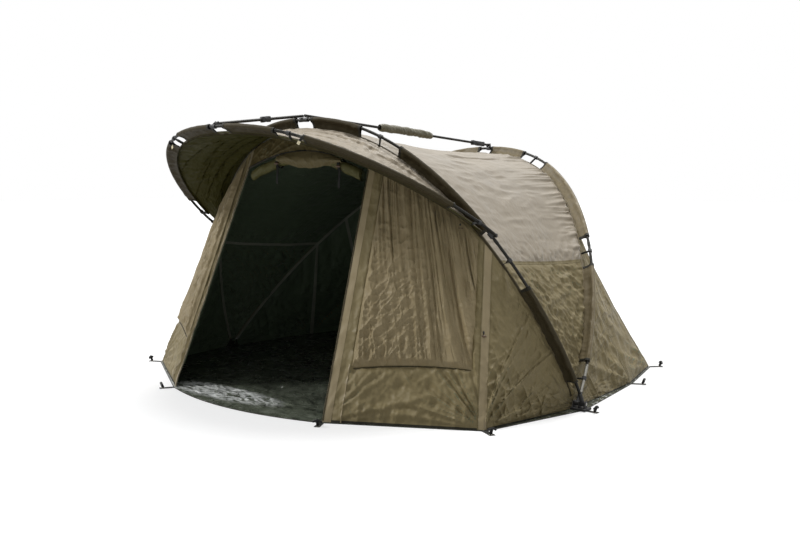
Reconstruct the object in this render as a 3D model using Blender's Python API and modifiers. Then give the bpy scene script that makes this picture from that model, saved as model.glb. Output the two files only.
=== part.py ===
"""Three-hoop bivvy tent: pole frame, sewn cover, ridge bars, groundsheet and pegs.

Metres, +Z up, X across the tent, the doorway faces -Y. The ground is z = 0, and the
two foot pivots lie on one axis along X at y = 0.
"""

import math

import bmesh
import bpy
from mathutils import Matrix, Vector

# Running gap between touching solids, and the overrun of every cut.
GAP = 0.0003
OVERRUN = 0.004

# Poles, knuckles and foot pivots.
POLE_RADIUS = 0.008
PIVOT_HEIGHT = 0.035
PIN_RADIUS = 0.004
PIN_HEAD_RADIUS = 0.007
PIN_HEAD_LENGTH = 0.004
BARREL_RADIUS = 0.012
BARREL_LENGTH = 0.0245
EAR_THICKNESS = 0.006
EAR_PLAY = 0.0005
EAR_REACH = 0.013
PLATE_MARGIN = 0.014
PLATE_HALF_DEPTH = 0.035
PLATE_THICKNESS = 0.011
SOCKET_BORE = 0.0086
SOCKET_RADIUS = 0.0110
SOCKET_LENGTH = 0.062
SOCKET_ROOT = 0.007
POLE_SEAT = 0.0015

# Hoops: half width, lean and height of the apex, and the roundness of the arch.
CENTRE_HALF_WIDTH = 1.451
CENTRE_APEX_Y = -0.587
CENTRE_APEX_HEIGHT = 1.525
REAR_APEX_Y = 1.163
REAR_APEX_HEIGHT = 1.407
PEAK_APEX_Y = -1.198
PEAK_APEX_HEIGHT = 1.464
CENTRE_SIDE_POWER = 2.26
CENTRE_TOP_POWER = 1.48
REAR_SIDE_POWER = 2.22
REAR_TOP_POWER = 1.48
PEAK_SIDE_POWER = 2.37
PEAK_TOP_POWER = 1.40
PEAK_PIVOT_SHARE = 0.473
HOOP_STEPS = 48
PEAK_STEPS = 36

# Fabric, pole sleeves and the edge of the skin below the poles.
FABRIC = 0.003
SKIN_DROP = 0.055
INNER_SKIN_EXTRA = 0.0045
SEAM_SHIFT = 0.0055
ROOF_SEAM_SHIFT = 0.0048
SLEEVE_RADIUS = 0.0135
SLEEVE_BORE = 0.0097
FIN_HALF_THICKNESS = 0.005
SLEEVE_SHOULDER_SHARE = 0.7

# Sleeve runs along each hoop, as shares of the half arch from foot to apex.
CENTRE_SLEEVE_SHARES = {
    "lower": (0.100, 0.348),
    "shoulder": (0.485, 0.735),
    "upper": (0.845, 0.982),
}
REAR_SLEEVE_SHARES = {
    "lower": (0.150, 0.400),
    "shoulder": (0.480, 0.775),
    "upper": (0.868, 0.985),
}
PEAK_SLEEVE_SHARES = {"side": (0.270, 0.735), "upper": (0.822, 0.982)}

# Ground outline: door foot, front corner, foot pivot, rear quarter and rear corner.
DOOR_FOOT = (0.598, -1.053)
FRONT_CORNER = (1.293, -0.657)
SIDE_FOOT = (1.400, 0.0)
SIDE_TAB = (1.450, 0.0)
REAR_QUARTER = (1.345, 0.737)
REAR_CORNER = (1.206, 1.266)
DOOR_BOW = 0.105
REAR_BOW = 0.055
SHEET_THICKNESS = 0.003
SHEET_MARGIN = 0.012
TAB_HALF_WIDTH = 0.017
TAB_REACH = 0.092
HOLE_REACH = 0.072
HOLE_RADIUS = 0.0075

# Skin seams, as shares of the half arch, and the doorway's top.
FOOT_SHARE = 0.045
CORNER_SEAM_SHARE = 0.460
DOOR_SEAM_SHARE = 0.809
ROOF_SEAM_SHARE = 0.418
QUARTER_SEAM_SHARE = 0.417
REAR_CORNER_SHARE = 0.520
SEAM_GAP_SHARE = 0.0015
HEM_TILT_SHARE = 0.28
PEAK_SEAM_SHARE = 0.500
DOOR_SIDE_GAP = 0.004
DOOR_TOP_SHARE = 0.905
DOOR_TOP_CROWN = 0.095
ROOF_SAG = 0.030
CANOPY_SAG = 0.020
REAR_SAG = 0.035
CANOPY_END_SHARE = 0.075

# Draped window covers, and the rolled door.
COVER_LOW_SHARE = 0.225
COVER_HIGH_SHARE = 0.905
COVER_SIDE_MARGIN_SHARE = 0.028
COVER_FABRIC = 0.0022
COVER_FOLD_DEPTH = 0.010
COVER_FOLDS = 8
COVER_PLAY = 0.0012
COVER_EDGE_EASE = 5
COVER_DRIFT_SHARE = 0.10
COVER_FADE_SHARE = 0.6
ROLL_HALF_HEIGHT = 0.034
ROLL_HALF_DEPTH = 0.026
ROLL_END_INSET = 0.045
ROLL_SIDES = 10

# Ridge bars, their clips, brackets and adjusters.
BAR_RADIUS = 0.0078
BAR_OFFSET = 0.020
BAR_OVERHANG = 0.012
CLIP_RADIUS = 0.0125
CLIP_HALF_WIDTH = 0.034
CLAMP_HALF_WIDTH = 0.015
EYE_RADIUS = 0.010
EYE_LENGTH = 0.018
BAR_PIN_RADIUS = 0.003
BRACKET_EAR_THICKNESS = 0.0035
BRACKET_EAR_HALF_WIDTH = 0.009
BRACKET_RISE = 0.0235
BRACKET_ROOT = 0.0097
FRONT_BRACKET_LEAN = math.radians(50)
REAR_BRACKET_LEAN = math.radians(-14)
ADJUSTER_PLAY = 0.0005
ADJUSTER_HALF_WIDTH = 0.013
ADJUSTER_HALF_HEIGHT = 0.016
FRONT_ADJUSTER_LENGTH = 0.062
FRONT_ADJUSTER_PLACE = 0.300
REAR_ADJUSTER_LENGTH = 0.135
REAR_ADJUSTER_PLACE = 0.060
WRAP_RADIUS = 0.027
WRAP_BORE = 0.0085
WRAP_LENGTH = 0.500
WRAP_PLACE = 0.640
WRAP_CRUMPLE = 0.005
WRAP_STEPS = 12

# Peak pivot clips.
PIVOT_CLIP_LENGTH = 0.040
PIVOT_CLIP_RADIUS = 0.0135
PIVOT_EYE_OFFSET = 0.0285
PEAK_EYE_RADIUS = 0.0105
PEAK_EYE_LENGTH = 0.012
PEAK_PIN_REACH = 0.037

# Pegs.
PEG_SHAFT_RADIUS = 0.0038
PEG_DEPTH = 0.150
PEG_POINT = 0.022
PEG_POINT_RADIUS = 0.0008
PEG_STEM_RADIUS = 0.0078
PEG_STEM_LENGTH = 0.030
PEG_BAR_RADIUS = 0.0056
PEG_BAR_HALF_WIDTH = 0.023
PEG_BAR_DROP = 0.011
PEG_TILT = math.radians(22)

SIDES = {"left": -1, "right": 1}
X_AXIS = Vector((1, 0, 0))
Z_AXIS = Vector((0, 0, 1))


def clear_scene():
    for item in list(bpy.data.objects):
        bpy.data.objects.remove(item)


def new_collection(name):
    made = bpy.data.collections.new(name)
    bpy.context.scene.collection.children.link(made)
    return made


def finish(name, colour, roughness, metallic=0.0):
    made = bpy.data.materials.new(name)
    made.use_nodes = True
    shader = made.node_tree.nodes["Principled BSDF"]
    shader.inputs["Base Color"].default_value = (*colour, 1.0)
    shader.inputs["Roughness"].default_value = roughness
    shader.inputs["Metallic"].default_value = metallic
    return made


clear_scene()
PARTS = new_collection("bivvy_tent")
CUTTERS = new_collection("cutters")
ROOF_CLOTH = finish("roof cloth", (0.37, 0.33, 0.26), 0.55)
WALL_CLOTH = finish("wall cloth", (0.17, 0.15, 0.09), 0.60)
PEAK_CLOTH = finish("peak cloth", (0.10, 0.09, 0.045), 0.60)
SLEEVE_CLOTH = finish("centre sleeve cloth", (0.085, 0.070, 0.040), 0.65)
REAR_SLEEVE_CLOTH = finish("rear sleeve cloth", (0.36, 0.28, 0.18), 0.60)
ROLL_CLOTH = finish("door cloth", (0.16, 0.15, 0.07), 0.60)
SHEET_VINYL = finish("groundsheet vinyl", (0.020, 0.024, 0.018), 0.30)
POLE_METAL = finish("pole metal", (0.045, 0.045, 0.045), 0.35, 0.8)
PIN_METAL = finish("pin steel", (0.45, 0.45, 0.45), 0.30, 1.0)
MOULDING = finish("black moulding", (0.015, 0.015, 0.015), 0.50)
PEG_METAL = finish("peg steel", (0.03, 0.03, 0.03), 0.45, 0.5)


class Hoop:
    """A pole arch in a leaning plane, sampled as a chain of straight steps.

    A place along it is s, from -1 at the left foot through 0 at the apex to 1.
    """

    def __init__(self, half, base, apex, side_power, top_power, steps):
        self.half = half
        self.base = Vector((0, *base))
        self.rise = Vector((0, *apex)) - self.base
        self.side_power = side_power
        self.top_power = top_power
        self.steps = steps
        self.up = self.rise.normalized()
        self.back = self.up.cross(X_AXIS).normalized()
        self.chain = [self.exact(2 * i / steps - 1) for i in range(steps + 1)]
        self.inward = [self.inward_at(i) for i in range(steps + 1)]

    def exact(self, s):
        angle = (1 - abs(s)) * math.pi / 2
        across = self.half * max(math.cos(angle), 0) ** (2 / self.side_power)
        lift = math.sin(angle) ** (2 / self.top_power)
        return self.base + X_AXIS * math.copysign(across, s) + self.rise * lift

    def inward_at(self, index):
        first = self.chain[max(index - 1, 0)]
        last = self.chain[min(index + 1, self.steps)]
        return self.back.cross(last - first).normalized()

    def spot(self, s):
        """The point on the chain at s, and the inward direction there."""
        place = (s + 1) / 2 * self.steps
        index = min(max(int(place), 0), self.steps - 1)
        part = place - index
        point = self.chain[index].lerp(self.chain[index + 1], part)
        inward = self.inward[index].lerp(self.inward[index + 1], part)
        return point, inward.normalized()

    def run(self, start, end):
        """The values of s from start to end, with every chain joint between them."""
        joints = [2 * i / self.steps - 1 for i in range(self.steps + 1)]
        inner = [s for s in joints if start < s < end]
        margin = (end - start) / (20 * (len(inner) + 1))
        return [start, *[s for s in inner if start + margin < s < end - margin], end]

    def share_at(self, distance):
        """The share of the half arch at a length along the chain from the foot."""
        walked = 0
        for index in range(self.steps // 2):
            step = (self.chain[index + 1] - self.chain[index]).length
            if walked + step >= distance:
                return (index + (distance - walked) / step) * 2 / self.steps
            walked += step
        return 1


FOOT_BASE = (0.0, PIVOT_HEIGHT)
FOOT_PITCH = BARREL_LENGTH + EAR_THICKNESS + 2 * EAR_PLAY
REAR_HALF_WIDTH = CENTRE_HALF_WIDTH - FOOT_PITCH
CENTRE = Hoop(
    CENTRE_HALF_WIDTH,
    FOOT_BASE,
    (CENTRE_APEX_Y, CENTRE_APEX_HEIGHT),
    CENTRE_SIDE_POWER,
    CENTRE_TOP_POWER,
    HOOP_STEPS,
)
REAR = Hoop(
    REAR_HALF_WIDTH,
    FOOT_BASE,
    (REAR_APEX_Y, REAR_APEX_HEIGHT),
    REAR_SIDE_POWER,
    REAR_TOP_POWER,
    HOOP_STEPS,
)
PIVOT_SPOT = CENTRE.spot(1 - PEAK_PIVOT_SHARE)[0]
PEAK = Hoop(
    PIVOT_SPOT.x + PIVOT_EYE_OFFSET,
    (PIVOT_SPOT.y, PIVOT_SPOT.z),
    (PEAK_APEX_Y, PEAK_APEX_HEIGHT),
    PEAK_SIDE_POWER,
    PEAK_TOP_POWER,
    PEAK_STEPS,
)


def place(name, data, material, collection=PARTS):
    made = bpy.data.objects.new(name, data)
    collection.objects.link(made)
    data.materials.append(material)
    return made


def cutter(name, data):
    made = bpy.data.objects.new(name, data)
    CUTTERS.objects.link(made)
    made.hide_render = True
    made.display_type = "WIRE"
    return made


def combine(target, tool, operation):
    step = target.modifiers.new(tool.name, "BOOLEAN")
    step.operation = operation
    step.solver = "EXACT"
    step.object = tool


def mesh_of(points, faces):
    data = bpy.data.meshes.new("mesh")
    data.from_pydata([tuple(p) for p in points], [], faces)
    data.validate()
    return data


def outward(data):
    """Turns every face of a closed mesh to point out."""
    work = bmesh.new()
    work.from_mesh(data)
    bmesh.ops.recalc_face_normals(work, faces=work.faces)
    work.to_mesh(data)
    work.free()
    return data


def sheet(name, rows, thickness, material):
    """A fabric panel: an open grid of points, thickened about its middle."""
    width = len(rows[0])
    faces = [
        (r * width + c, r * width + c + 1, (r + 1) * width + c + 1, (r + 1) * width + c)
        for r in range(len(rows) - 1)
        for c in range(width - 1)
    ]
    made = place(name, mesh_of([p for row in rows for p in row], faces), material)
    thicken = made.modifiers.new("thickness", "SOLIDIFY")
    thicken.thickness = thickness
    thicken.offset = 0
    made.data.shade_smooth()
    return made


def loft(rings, bores=None):
    """A closed solid through rings of points, hollow where bores are given."""
    count = len(rings[0])
    points = [p for ring in rings for p in ring]
    faces = []
    for r in range(len(rings) - 1):
        for c in range(count):
            n = (c + 1) % count
            low, high = r * count, (r + 1) * count
            faces.append((low + c, low + n, high + n, high + c))
    last = (len(rings) - 1) * count
    if bores is None:
        faces.append(tuple(range(count))[::-1])
        faces.append(tuple(last + c for c in range(count)))
        return outward(mesh_of(points, faces))
    inner = len(points)
    points += [p for ring in bores for p in ring]
    for r in range(len(bores) - 1):
        for c in range(count):
            n = (c + 1) % count
            low, high = inner + r * count, inner + (r + 1) * count
            faces.append((low + c, high + c, high + n, low + n))
    for c in range(count):
        n = (c + 1) % count
        faces.append((c, inner + c, inner + n, n))
        faces.append((last + c, last + n, inner + last + n, inner + last + c))
    return outward(mesh_of(points, faces))


def round_section(radius, sides):
    turn = 2 * math.pi / sides
    return [(radius * math.cos(i * turn), radius * math.sin(i * turn)) for i in range(sides)]


def sections_on(hoop, start, end, outline):
    """The outline (inward, back) set on a hoop at each step from start to end."""
    rings = []
    for s in hoop.run(start, end):
        point, inward = hoop.spot(s)
        rings.append([point + inward * a + hoop.back * b for a, b in outline])
    return rings


def cylinder(start, end, radius, sides=16, end_radius=None):
    """A closed cylinder or cone mesh from one point to another."""
    work = bmesh.new()
    along = Vector(end) - Vector(start)
    turn = along.to_track_quat("Z", "X").to_matrix().to_4x4()
    middle = Matrix.Translation((Vector(start) + Vector(end)) / 2)
    bmesh.ops.create_cone(
        work,
        cap_ends=True,
        segments=sides,
        radius1=radius,
        radius2=radius if end_radius is None else end_radius,
        depth=along.length,
        matrix=middle @ turn,
    )
    data = bpy.data.meshes.new("cylinder")
    work.to_mesh(data)
    work.free()
    return data


def box(low, high):
    work = bmesh.new()
    size = Vector(high) - Vector(low)
    middle = Matrix.Translation((Vector(low) + Vector(high)) / 2)
    bmesh.ops.create_cube(work, size=1, matrix=middle @ Matrix.Diagonal((*size, 1)))
    data = bpy.data.meshes.new("box")
    work.to_mesh(data)
    work.free()
    return data


def tube(name, points, radius, material):
    """A round pole along points, with closed ends."""
    path = bpy.data.curves.new(name, "CURVE")
    path.dimensions = "3D"
    path.bevel_depth = radius
    path.bevel_resolution = 2
    path.use_fill_caps = True
    path.resolution_u = 1
    path.render_resolution_u = 0
    line = path.splines.new("POLY")
    line.points.add(len(points) - 1)
    for knot, point in zip(line.points, points):
        knot.co = (*point, 1)
    return place(name, path, material)


def hoop_tube(name, hoop, foot, material=POLE_METAL):
    """The pole of a hoop, starting a short way above its pivot on both sides."""
    end = 1 - hoop.share_at(foot)
    return tube(name, [hoop.spot(s)[0] for s in hoop.run(-end, end)], POLE_RADIUS, material)


def build_hoops():
    foot = BARREL_RADIUS + POLE_SEAT
    hoop_tube("centre_hoop", CENTRE, foot)
    hoop_tube("rear_hoop", REAR, foot)
    peak = hoop_tube("peak_hoop", PEAK, PEAK_EYE_RADIUS - POLE_SEAT)
    add_peak_eyes(peak)


def solid_from(curve):
    """The mesh of a curve object, with its caps sewn on, in place of the curve."""
    bpy.context.view_layer.update()
    graph = bpy.context.evaluated_depsgraph_get()
    data = bpy.data.meshes.new_from_object(curve.evaluated_get(graph))
    work = bmesh.new()
    work.from_mesh(data)
    bmesh.ops.remove_doubles(work, verts=work.verts, dist=GAP / 10)
    work.to_mesh(data)
    work.free()
    made = bpy.data.objects.new("solid", data)
    PARTS.objects.link(made)
    made.matrix_world = curve.matrix_world
    name = curve.name
    bpy.data.objects.remove(curve)
    made.name = name
    return made


def add_peak_eyes(curve):
    """The eyes at both ends of the peak hoop, bored for the clips' pins."""
    peak = solid_from(curve)
    for side, sign in SIDES.items():
        middle = PEAK.exact(sign)
        reach = X_AXIS * PEAK_EYE_LENGTH / 2
        eye = cylinder(middle - reach, middle + reach, PEAK_EYE_RADIUS)
        combine(peak, cutter("peak_eye_" + side, eye), "UNION")
    for side, sign in SIDES.items():
        middle = PEAK.exact(sign)
        reach = X_AXIS * (PEAK_EYE_LENGTH / 2 + OVERRUN)
        bore = cylinder(middle - reach, middle + reach, PIN_RADIUS + GAP)
        combine(peak, cutter("peak_eye_bore_" + side, bore), "DIFFERENCE")


def build_knuckle(name, hoop, sign):
    """A pole's moulded foot: a barrel on the pivot pin and a socket for the pole."""
    middle = hoop.exact(sign)
    reach = X_AXIS * BARREL_LENGTH / 2
    knuckle = place(name, cylinder(middle - reach, middle + reach, BARREL_RADIUS), MOULDING)
    low = (1 - hoop.share_at(SOCKET_ROOT)) * sign
    high = (1 - hoop.share_at(SOCKET_LENGTH)) * sign
    start, end = sorted((low, high))
    socket = loft(
        sections_on(hoop, start, end, round_section(SOCKET_RADIUS, 12)),
        sections_on(hoop, start, end, round_section(SOCKET_BORE, 12)),
    )
    combine(knuckle, cutter(name + "_socket", socket), "UNION")
    over = X_AXIS * (BARREL_LENGTH / 2 + OVERRUN)
    bore = cylinder(middle - over, middle + over, PIN_RADIUS + GAP)
    combine(knuckle, cutter(name + "_bore", bore), "DIFFERENCE")


def build_knuckles():
    for side, sign in SIDES.items():
        build_knuckle("centre_knuckle_" + side, CENTRE, sign)
        build_knuckle("rear_knuckle_" + side, REAR, sign)


def build_pivots():
    """Foot blocks with three ears each, and the pins through them."""
    sheet_top = SHEET_THICKNESS + GAP
    plate_top = sheet_top + PLATE_THICKNESS
    half_span = 1.5 * EAR_THICKNESS + BARREL_LENGTH + 2 * EAR_PLAY
    middle_x = CENTRE_HALF_WIDTH - FOOT_PITCH / 2
    plate_half = half_span + PLATE_MARGIN
    for side, sign in SIDES.items():
        centre = Vector((sign * middle_x, 0, 0))
        block = place(
            "pivot_block_" + side,
            box(
                centre + Vector((-plate_half, -PLATE_HALF_DEPTH, sheet_top)),
                centre + Vector((plate_half, PLATE_HALF_DEPTH, plate_top)),
            ),
            MOULDING,
        )
        for number in (-1, 0, 1):
            ear_x = number * FOOT_PITCH
            ear = box(
                centre + Vector((ear_x - EAR_THICKNESS / 2, -EAR_REACH, plate_top - OVERRUN)),
                centre + Vector((ear_x + EAR_THICKNESS / 2, EAR_REACH, PIVOT_HEIGHT + EAR_REACH)),
            )
            combine(block, cutter(f"ear_{side}_{number}", ear), "UNION")
        axis = centre + Z_AXIS * PIVOT_HEIGHT
        over = X_AXIS * (half_span + OVERRUN)
        bore = cylinder(axis - over, axis + over, PIN_RADIUS + GAP)
        combine(block, cutter("block_bore_" + side, bore), "DIFFERENCE")
        inner = axis - X_AXIS * sign * (half_span + GAP)
        outer = axis + X_AXIS * sign * (half_span + GAP)
        pin = place("pivot_pin_" + side, cylinder(inner, outer, PIN_RADIUS), PIN_METAL)
        tip = outer + X_AXIS * sign * PIN_HEAD_LENGTH
        head = cylinder(outer, tip, PIN_HEAD_RADIUS)
        combine(pin, cutter("pin_head_" + side, head), "UNION")


def sleeve_outline():
    """A sleeve's section as (inward, back): round over the pole, then a flat fin."""
    slope = SLEEVE_RADIUS * SLEEVE_SHOULDER_SHARE
    return [
        (-SLEEVE_RADIUS, 0),
        (-slope, slope),
        (0, SLEEVE_RADIUS),
        (SKIN_DROP, FIN_HALF_THICKNESS),
        (SKIN_DROP, -FIN_HALF_THICKNESS),
        (0, -SLEEVE_RADIUS),
        (-slope, -slope),
    ]


def build_sleeves(prefix, hoop, runs, material):
    outline = sleeve_outline()
    turn = 2 * math.pi / len(outline)
    bore = [
        (-SLEEVE_BORE * math.cos(i * turn), SLEEVE_BORE * math.sin(i * turn))
        for i in range(len(outline))
    ]
    for place_name, (low, high) in runs.items():
        for side, sign in SIDES.items():
            start, end = sorted((sign * (1 - low), sign * (1 - high)))
            data = loft(
                sections_on(hoop, start, end, outline),
                sections_on(hoop, start, end, bore),
            )
            place(f"{prefix}_sleeve_{place_name}_{side}", data, material)


def skin_edge(hoop, s, shift, extra=0.0):
    """A point of a skin's edge below a hoop, shifted back or forward off its plane."""
    point, inward = hoop.spot(s)
    drop = SKIN_DROP + FABRIC / 2 + GAP + extra
    return point + inward * drop + hoop.back * shift


def span(first, last, count):
    return [first + (last - first) * i / count for i in range(count + 1)]


def build_roof_skins():
    """The roof between the centre and rear hoops, and the side walls below its seam."""
    roof_end = 1 - ROOF_SEAM_SHARE
    place_roof("roof_panel", span(-roof_end, roof_end, 28), 6)
    for side, sign in SIDES.items():
        low = sign * (1 - FOOT_SHARE)
        high = sign * (roof_end + SEAM_GAP_SHARE)
        place_roof("side_wall_" + side, span(low, high, 8), 6)


def place_roof(name, places, across):
    rows = []
    for s in places:
        front = skin_edge(CENTRE, s, ROOF_SEAM_SHIFT)
        back = skin_edge(REAR, s, -ROOF_SEAM_SHIFT)
        inward = (CENTRE.spot(s)[1] + REAR.spot(s)[1]).normalized()
        taper = min(1, (1 - abs(s)) / ROOF_SEAM_SHARE)
        rows.append(
            [
                front.lerp(back, t) + inward * 4 * t * (1 - t) * ROOF_SAG * taper
                for t in span(0, 1, across)
            ]
        )
    material = ROOF_CLOTH if name == "roof_panel" else WALL_CLOTH
    sheet(name, rows, FABRIC, material)


def ground_point(corner, sign, height):
    return Vector((sign * corner[0], corner[1], height))


HEM_HEIGHT = SHEET_THICKNESS + GAP + FABRIC * HEM_TILT_SHARE


def rear_hem(s):
    """The point of the ground line behind the tent that belongs to s."""
    share, sign = 1 - abs(s), math.copysign(1, s)
    foot = ground_point(SIDE_FOOT, sign, HEM_HEIGHT)
    quarter = ground_point(REAR_QUARTER, sign, HEM_HEIGHT)
    corner = ground_point(REAR_CORNER, sign, HEM_HEIGHT)
    middle = Vector((0, REAR_CORNER[1] + REAR_BOW, HEM_HEIGHT))
    if share < QUARTER_SEAM_SHARE:
        return foot.lerp(quarter, share / QUARTER_SEAM_SHARE)
    if share < REAR_CORNER_SHARE:
        part = (share - QUARTER_SEAM_SHARE) / (REAR_CORNER_SHARE - QUARTER_SEAM_SHARE)
        return quarter.lerp(corner, part)
    part = (share - REAR_CORNER_SHARE) / (1 - REAR_CORNER_SHARE)
    out = corner.lerp(middle, part)
    out.y = corner.y + REAR_BOW * (1 - (1 - part) ** 2)
    return out


def half_places(*shares_and_counts):
    """Places from one foot over the apex to the other, through the named shares."""
    half = []
    for low, high, count in shares_and_counts:
        half += span(low, high, count)[:-1]
    right = [1 - share for share in half]
    return [-s for s in right] + [0.0] + right[::-1]


def build_rear_wall():
    rows = []
    places = half_places(
        (FOOT_SHARE, QUARTER_SEAM_SHARE, 5),
        (QUARTER_SEAM_SHARE, REAR_CORNER_SHARE, 3),
        (REAR_CORNER_SHARE, 1, 6),
    )
    for s in places:
        top = skin_edge(REAR, s, SEAM_SHIFT)
        hem = rear_hem(s)
        inward = (REAR.base - top).normalized()
        taper = 1 - abs(s)
        rows.append(
            [
                top.lerp(hem, t) + inward * 4 * t * (1 - t) * REAR_SAG * taper
                for t in span(0, 1, 5)
            ]
        )
    sheet("rear_wall", rows, FABRIC, WALL_CLOTH)


def front_hem(s):
    """The point of the ground line ahead of the tent that belongs to s."""
    share, sign = 1 - abs(s), math.copysign(1, s)
    foot = ground_point(SIDE_FOOT, sign, HEM_HEIGHT)
    corner = ground_point(FRONT_CORNER, sign, HEM_HEIGHT)
    door = ground_point(DOOR_FOOT, sign, HEM_HEIGHT)
    if share < CORNER_SEAM_SHARE:
        return foot.lerp(corner, share / CORNER_SEAM_SHARE)
    part = (share - CORNER_SEAM_SHARE) / (DOOR_SEAM_SHARE - CORNER_SEAM_SHARE)
    return corner.lerp(door, part)


def panel_shares():
    low = span(FOOT_SHARE, CORNER_SEAM_SHARE, 6)[:-1]
    return low + span(CORNER_SEAM_SHARE, DOOR_SEAM_SHARE, 10)


def front_row_point(share, sign, t):
    """A point of one of the front panel's straight rows, from the hem to the hoop."""
    s = sign * (1 - share)
    part = (share - CORNER_SEAM_SHARE) / (PEAK_SEAM_SHARE - CORNER_SEAM_SHARE)
    extra = INNER_SKIN_EXTRA * min(max(part, 0), 1)
    return front_hem(s).lerp(skin_edge(CENTRE, s, -SEAM_SHIFT, extra), t)


def front_skin_point(share, sign, t):
    """A point on the front panel's surface: t runs from 0 at the ground to 1."""
    rows = panel_shares()
    index = max(i for i in range(len(rows) - 1) if rows[i] <= share + GAP)
    part = (share - rows[index]) / (rows[index + 1] - rows[index])
    low = front_row_point(rows[index], sign, t)
    return low.lerp(front_row_point(rows[index + 1], sign, t), part)


def build_front_panels():
    for side, sign in SIDES.items():
        rows = [
            [front_row_point(share, sign, t) for t in span(0, 1, 8)]
            for share in panel_shares()
        ]
        sheet("front_panel_" + side, rows, FABRIC, WALL_CLOTH)


def door_top(across, inset=DOOR_SIDE_GAP):
    """A point of the doorway's top edge; across runs from -1 to 1."""
    corner = front_row_point(DOOR_SEAM_SHARE, 1, DOOR_TOP_SHARE)
    lift = DOOR_TOP_CROWN * (1 - across * across)
    return Vector((across * (corner.x - inset), corner.y, corner.z + lift))


def build_door_header():
    rows = []
    for across in span(-1, 1, 14):
        top = skin_edge(CENTRE, across * (1 - DOOR_SEAM_SHARE), -SEAM_SHIFT, INNER_SKIN_EXTRA)
        top.x -= across * DOOR_SIDE_GAP
        low = door_top(across)
        rows.append([low.lerp(top, t) for t in span(0, 1, 2)])
    sheet("door_header", rows, FABRIC, WALL_CLOTH)


def build_door_roll():
    """The rolled-up door that hangs under the doorway's top edge."""
    drop = Z_AXIS * (ROLL_HALF_HEIGHT + 2 * GAP)
    rings = []
    for across in span(-1, 1, 14):
        middle = door_top(across, ROLL_END_INSET) - drop
        rings.append(
            [
                middle + Vector((0, ROLL_HALF_DEPTH * b, ROLL_HALF_HEIGHT * a))
                for a, b in round_section(1, ROLL_SIDES)
            ]
        )
    place("door_roll", loft(rings), ROLL_CLOTH)


def build_window_covers():
    """Covers that hang in folds, zipped over the windows of the front panels."""
    seat = (FABRIC + COVER_FABRIC) / 2 + COVER_PLAY
    low_share = CORNER_SEAM_SHARE + COVER_SIDE_MARGIN_SHARE
    high_share = DOOR_SEAM_SHARE - COVER_SIDE_MARGIN_SHARE
    for side, sign in SIDES.items():
        foot = front_skin_point(low_share, sign, 0)
        along = front_skin_point(high_share, sign, 0) - foot
        rise = front_skin_point((low_share + high_share) / 2, sign, 1) - foot - along / 2
        out = along.cross(rise).normalized() * sign
        rows = []
        for part in span(0, 1, COVER_FOLDS * 5):
            share = low_share + (high_share - low_share) * part
            drift = part + COVER_DRIFT_SHARE * math.sin(2 * math.pi * part)
            depth = 1 - COVER_FADE_SHARE * math.sin(3 * math.pi * part) ** 2
            wave = 1 + depth * math.sin(2 * math.pi * COVER_FOLDS * drift)
            row = []
            for up in span(0, 1, 6):
                edge = min(part, 1 - part, up, 1 - up) * COVER_EDGE_EASE
                fold = COVER_FOLD_DEPTH * wave * min(1, edge)
                t = COVER_LOW_SHARE + (COVER_HIGH_SHARE - COVER_LOW_SHARE) * up
                row.append(front_skin_point(share, sign, t) + out * (seat + fold))
            rows.append(row)
        sheet("window_cover_" + side, rows, COVER_FABRIC, WALL_CLOTH)


def build_canopy():
    """The peak's skin between the centre hoop and the peak hoop."""
    end = 1 - CANOPY_END_SHARE
    rows = []
    for s in span(-end, end, 28):
        back = skin_edge(CENTRE, s * (1 - PEAK_PIVOT_SHARE), -SEAM_SHIFT)
        front = skin_edge(PEAK, s, SEAM_SHIFT)
        inward = PEAK.spot(s)[1]
        rows.append(
            [
                back.lerp(front, t) + inward * 4 * t * (1 - t) * CANOPY_SAG
                for t in span(0, 1, 5)
            ]
        )
    sheet("peak_canopy", rows, FABRIC, PEAK_CLOTH)


def peg_spots():
    """Where each peg goes through its tab: name, corner and outward direction."""
    corners = {
        "door": DOOR_FOOT,
        "front": FRONT_CORNER,
        "side": SIDE_TAB,
        "quarter": REAR_QUARTER,
        "rear": REAR_CORNER,
    }
    return {
        f"{name}_{side}": (
            Vector((sign * corner[0], corner[1])),
            Vector((sign * corner[0], corner[1])).normalized(),
        )
        for name, corner in corners.items()
        for side, sign in SIDES.items()
    }


def build_groundsheet():
    """The sheet under the whole tent, with a bored tab at each peg."""
    spots = peg_spots()
    order = ["rear_right", "quarter_right", "side_right", "front_right", "door_right"]
    order += [name.replace("right", "left") for name in order[::-1]]
    outline = []
    for name in order:
        corner, out = spots[name]
        along = Vector((out.y, -out.x))
        base = corner + out * SHEET_MARGIN
        tip = corner + out * TAB_REACH
        outline += [
            base - along * TAB_HALF_WIDTH,
            tip - along * TAB_HALF_WIDTH * SLEEVE_SHOULDER_SHARE,
            tip + along * TAB_HALF_WIDTH * SLEEVE_SHOULDER_SHARE,
            base + along * TAB_HALF_WIDTH,
        ]
        if name == "door_right":
            outline += door_arc(1)
        if name == "rear_left":
            outline += rear_arc()
    path = bpy.data.curves.new("groundsheet", "CURVE")
    path.dimensions = "2D"
    path.fill_mode = "BOTH"
    path.extrude = SHEET_THICKNESS / 2
    path.resolution_u = 1
    path.render_resolution_u = 0
    add_loop(path, outline)
    for corner, out in spots.values():
        hole = corner + out * HOLE_REACH
        add_loop(path, [hole + Vector(p) for p in round_section(HOLE_RADIUS, 12)])
    made = place("groundsheet", path, SHEET_VINYL)
    made.location.z = SHEET_THICKNESS / 2


def add_loop(path, points):
    line = path.splines.new("POLY")
    line.points.add(len(points) - 1)
    for knot, point in zip(line.points, points):
        knot.co = (point[0], point[1], 0, 1)
    line.use_cyclic_u = True


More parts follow.
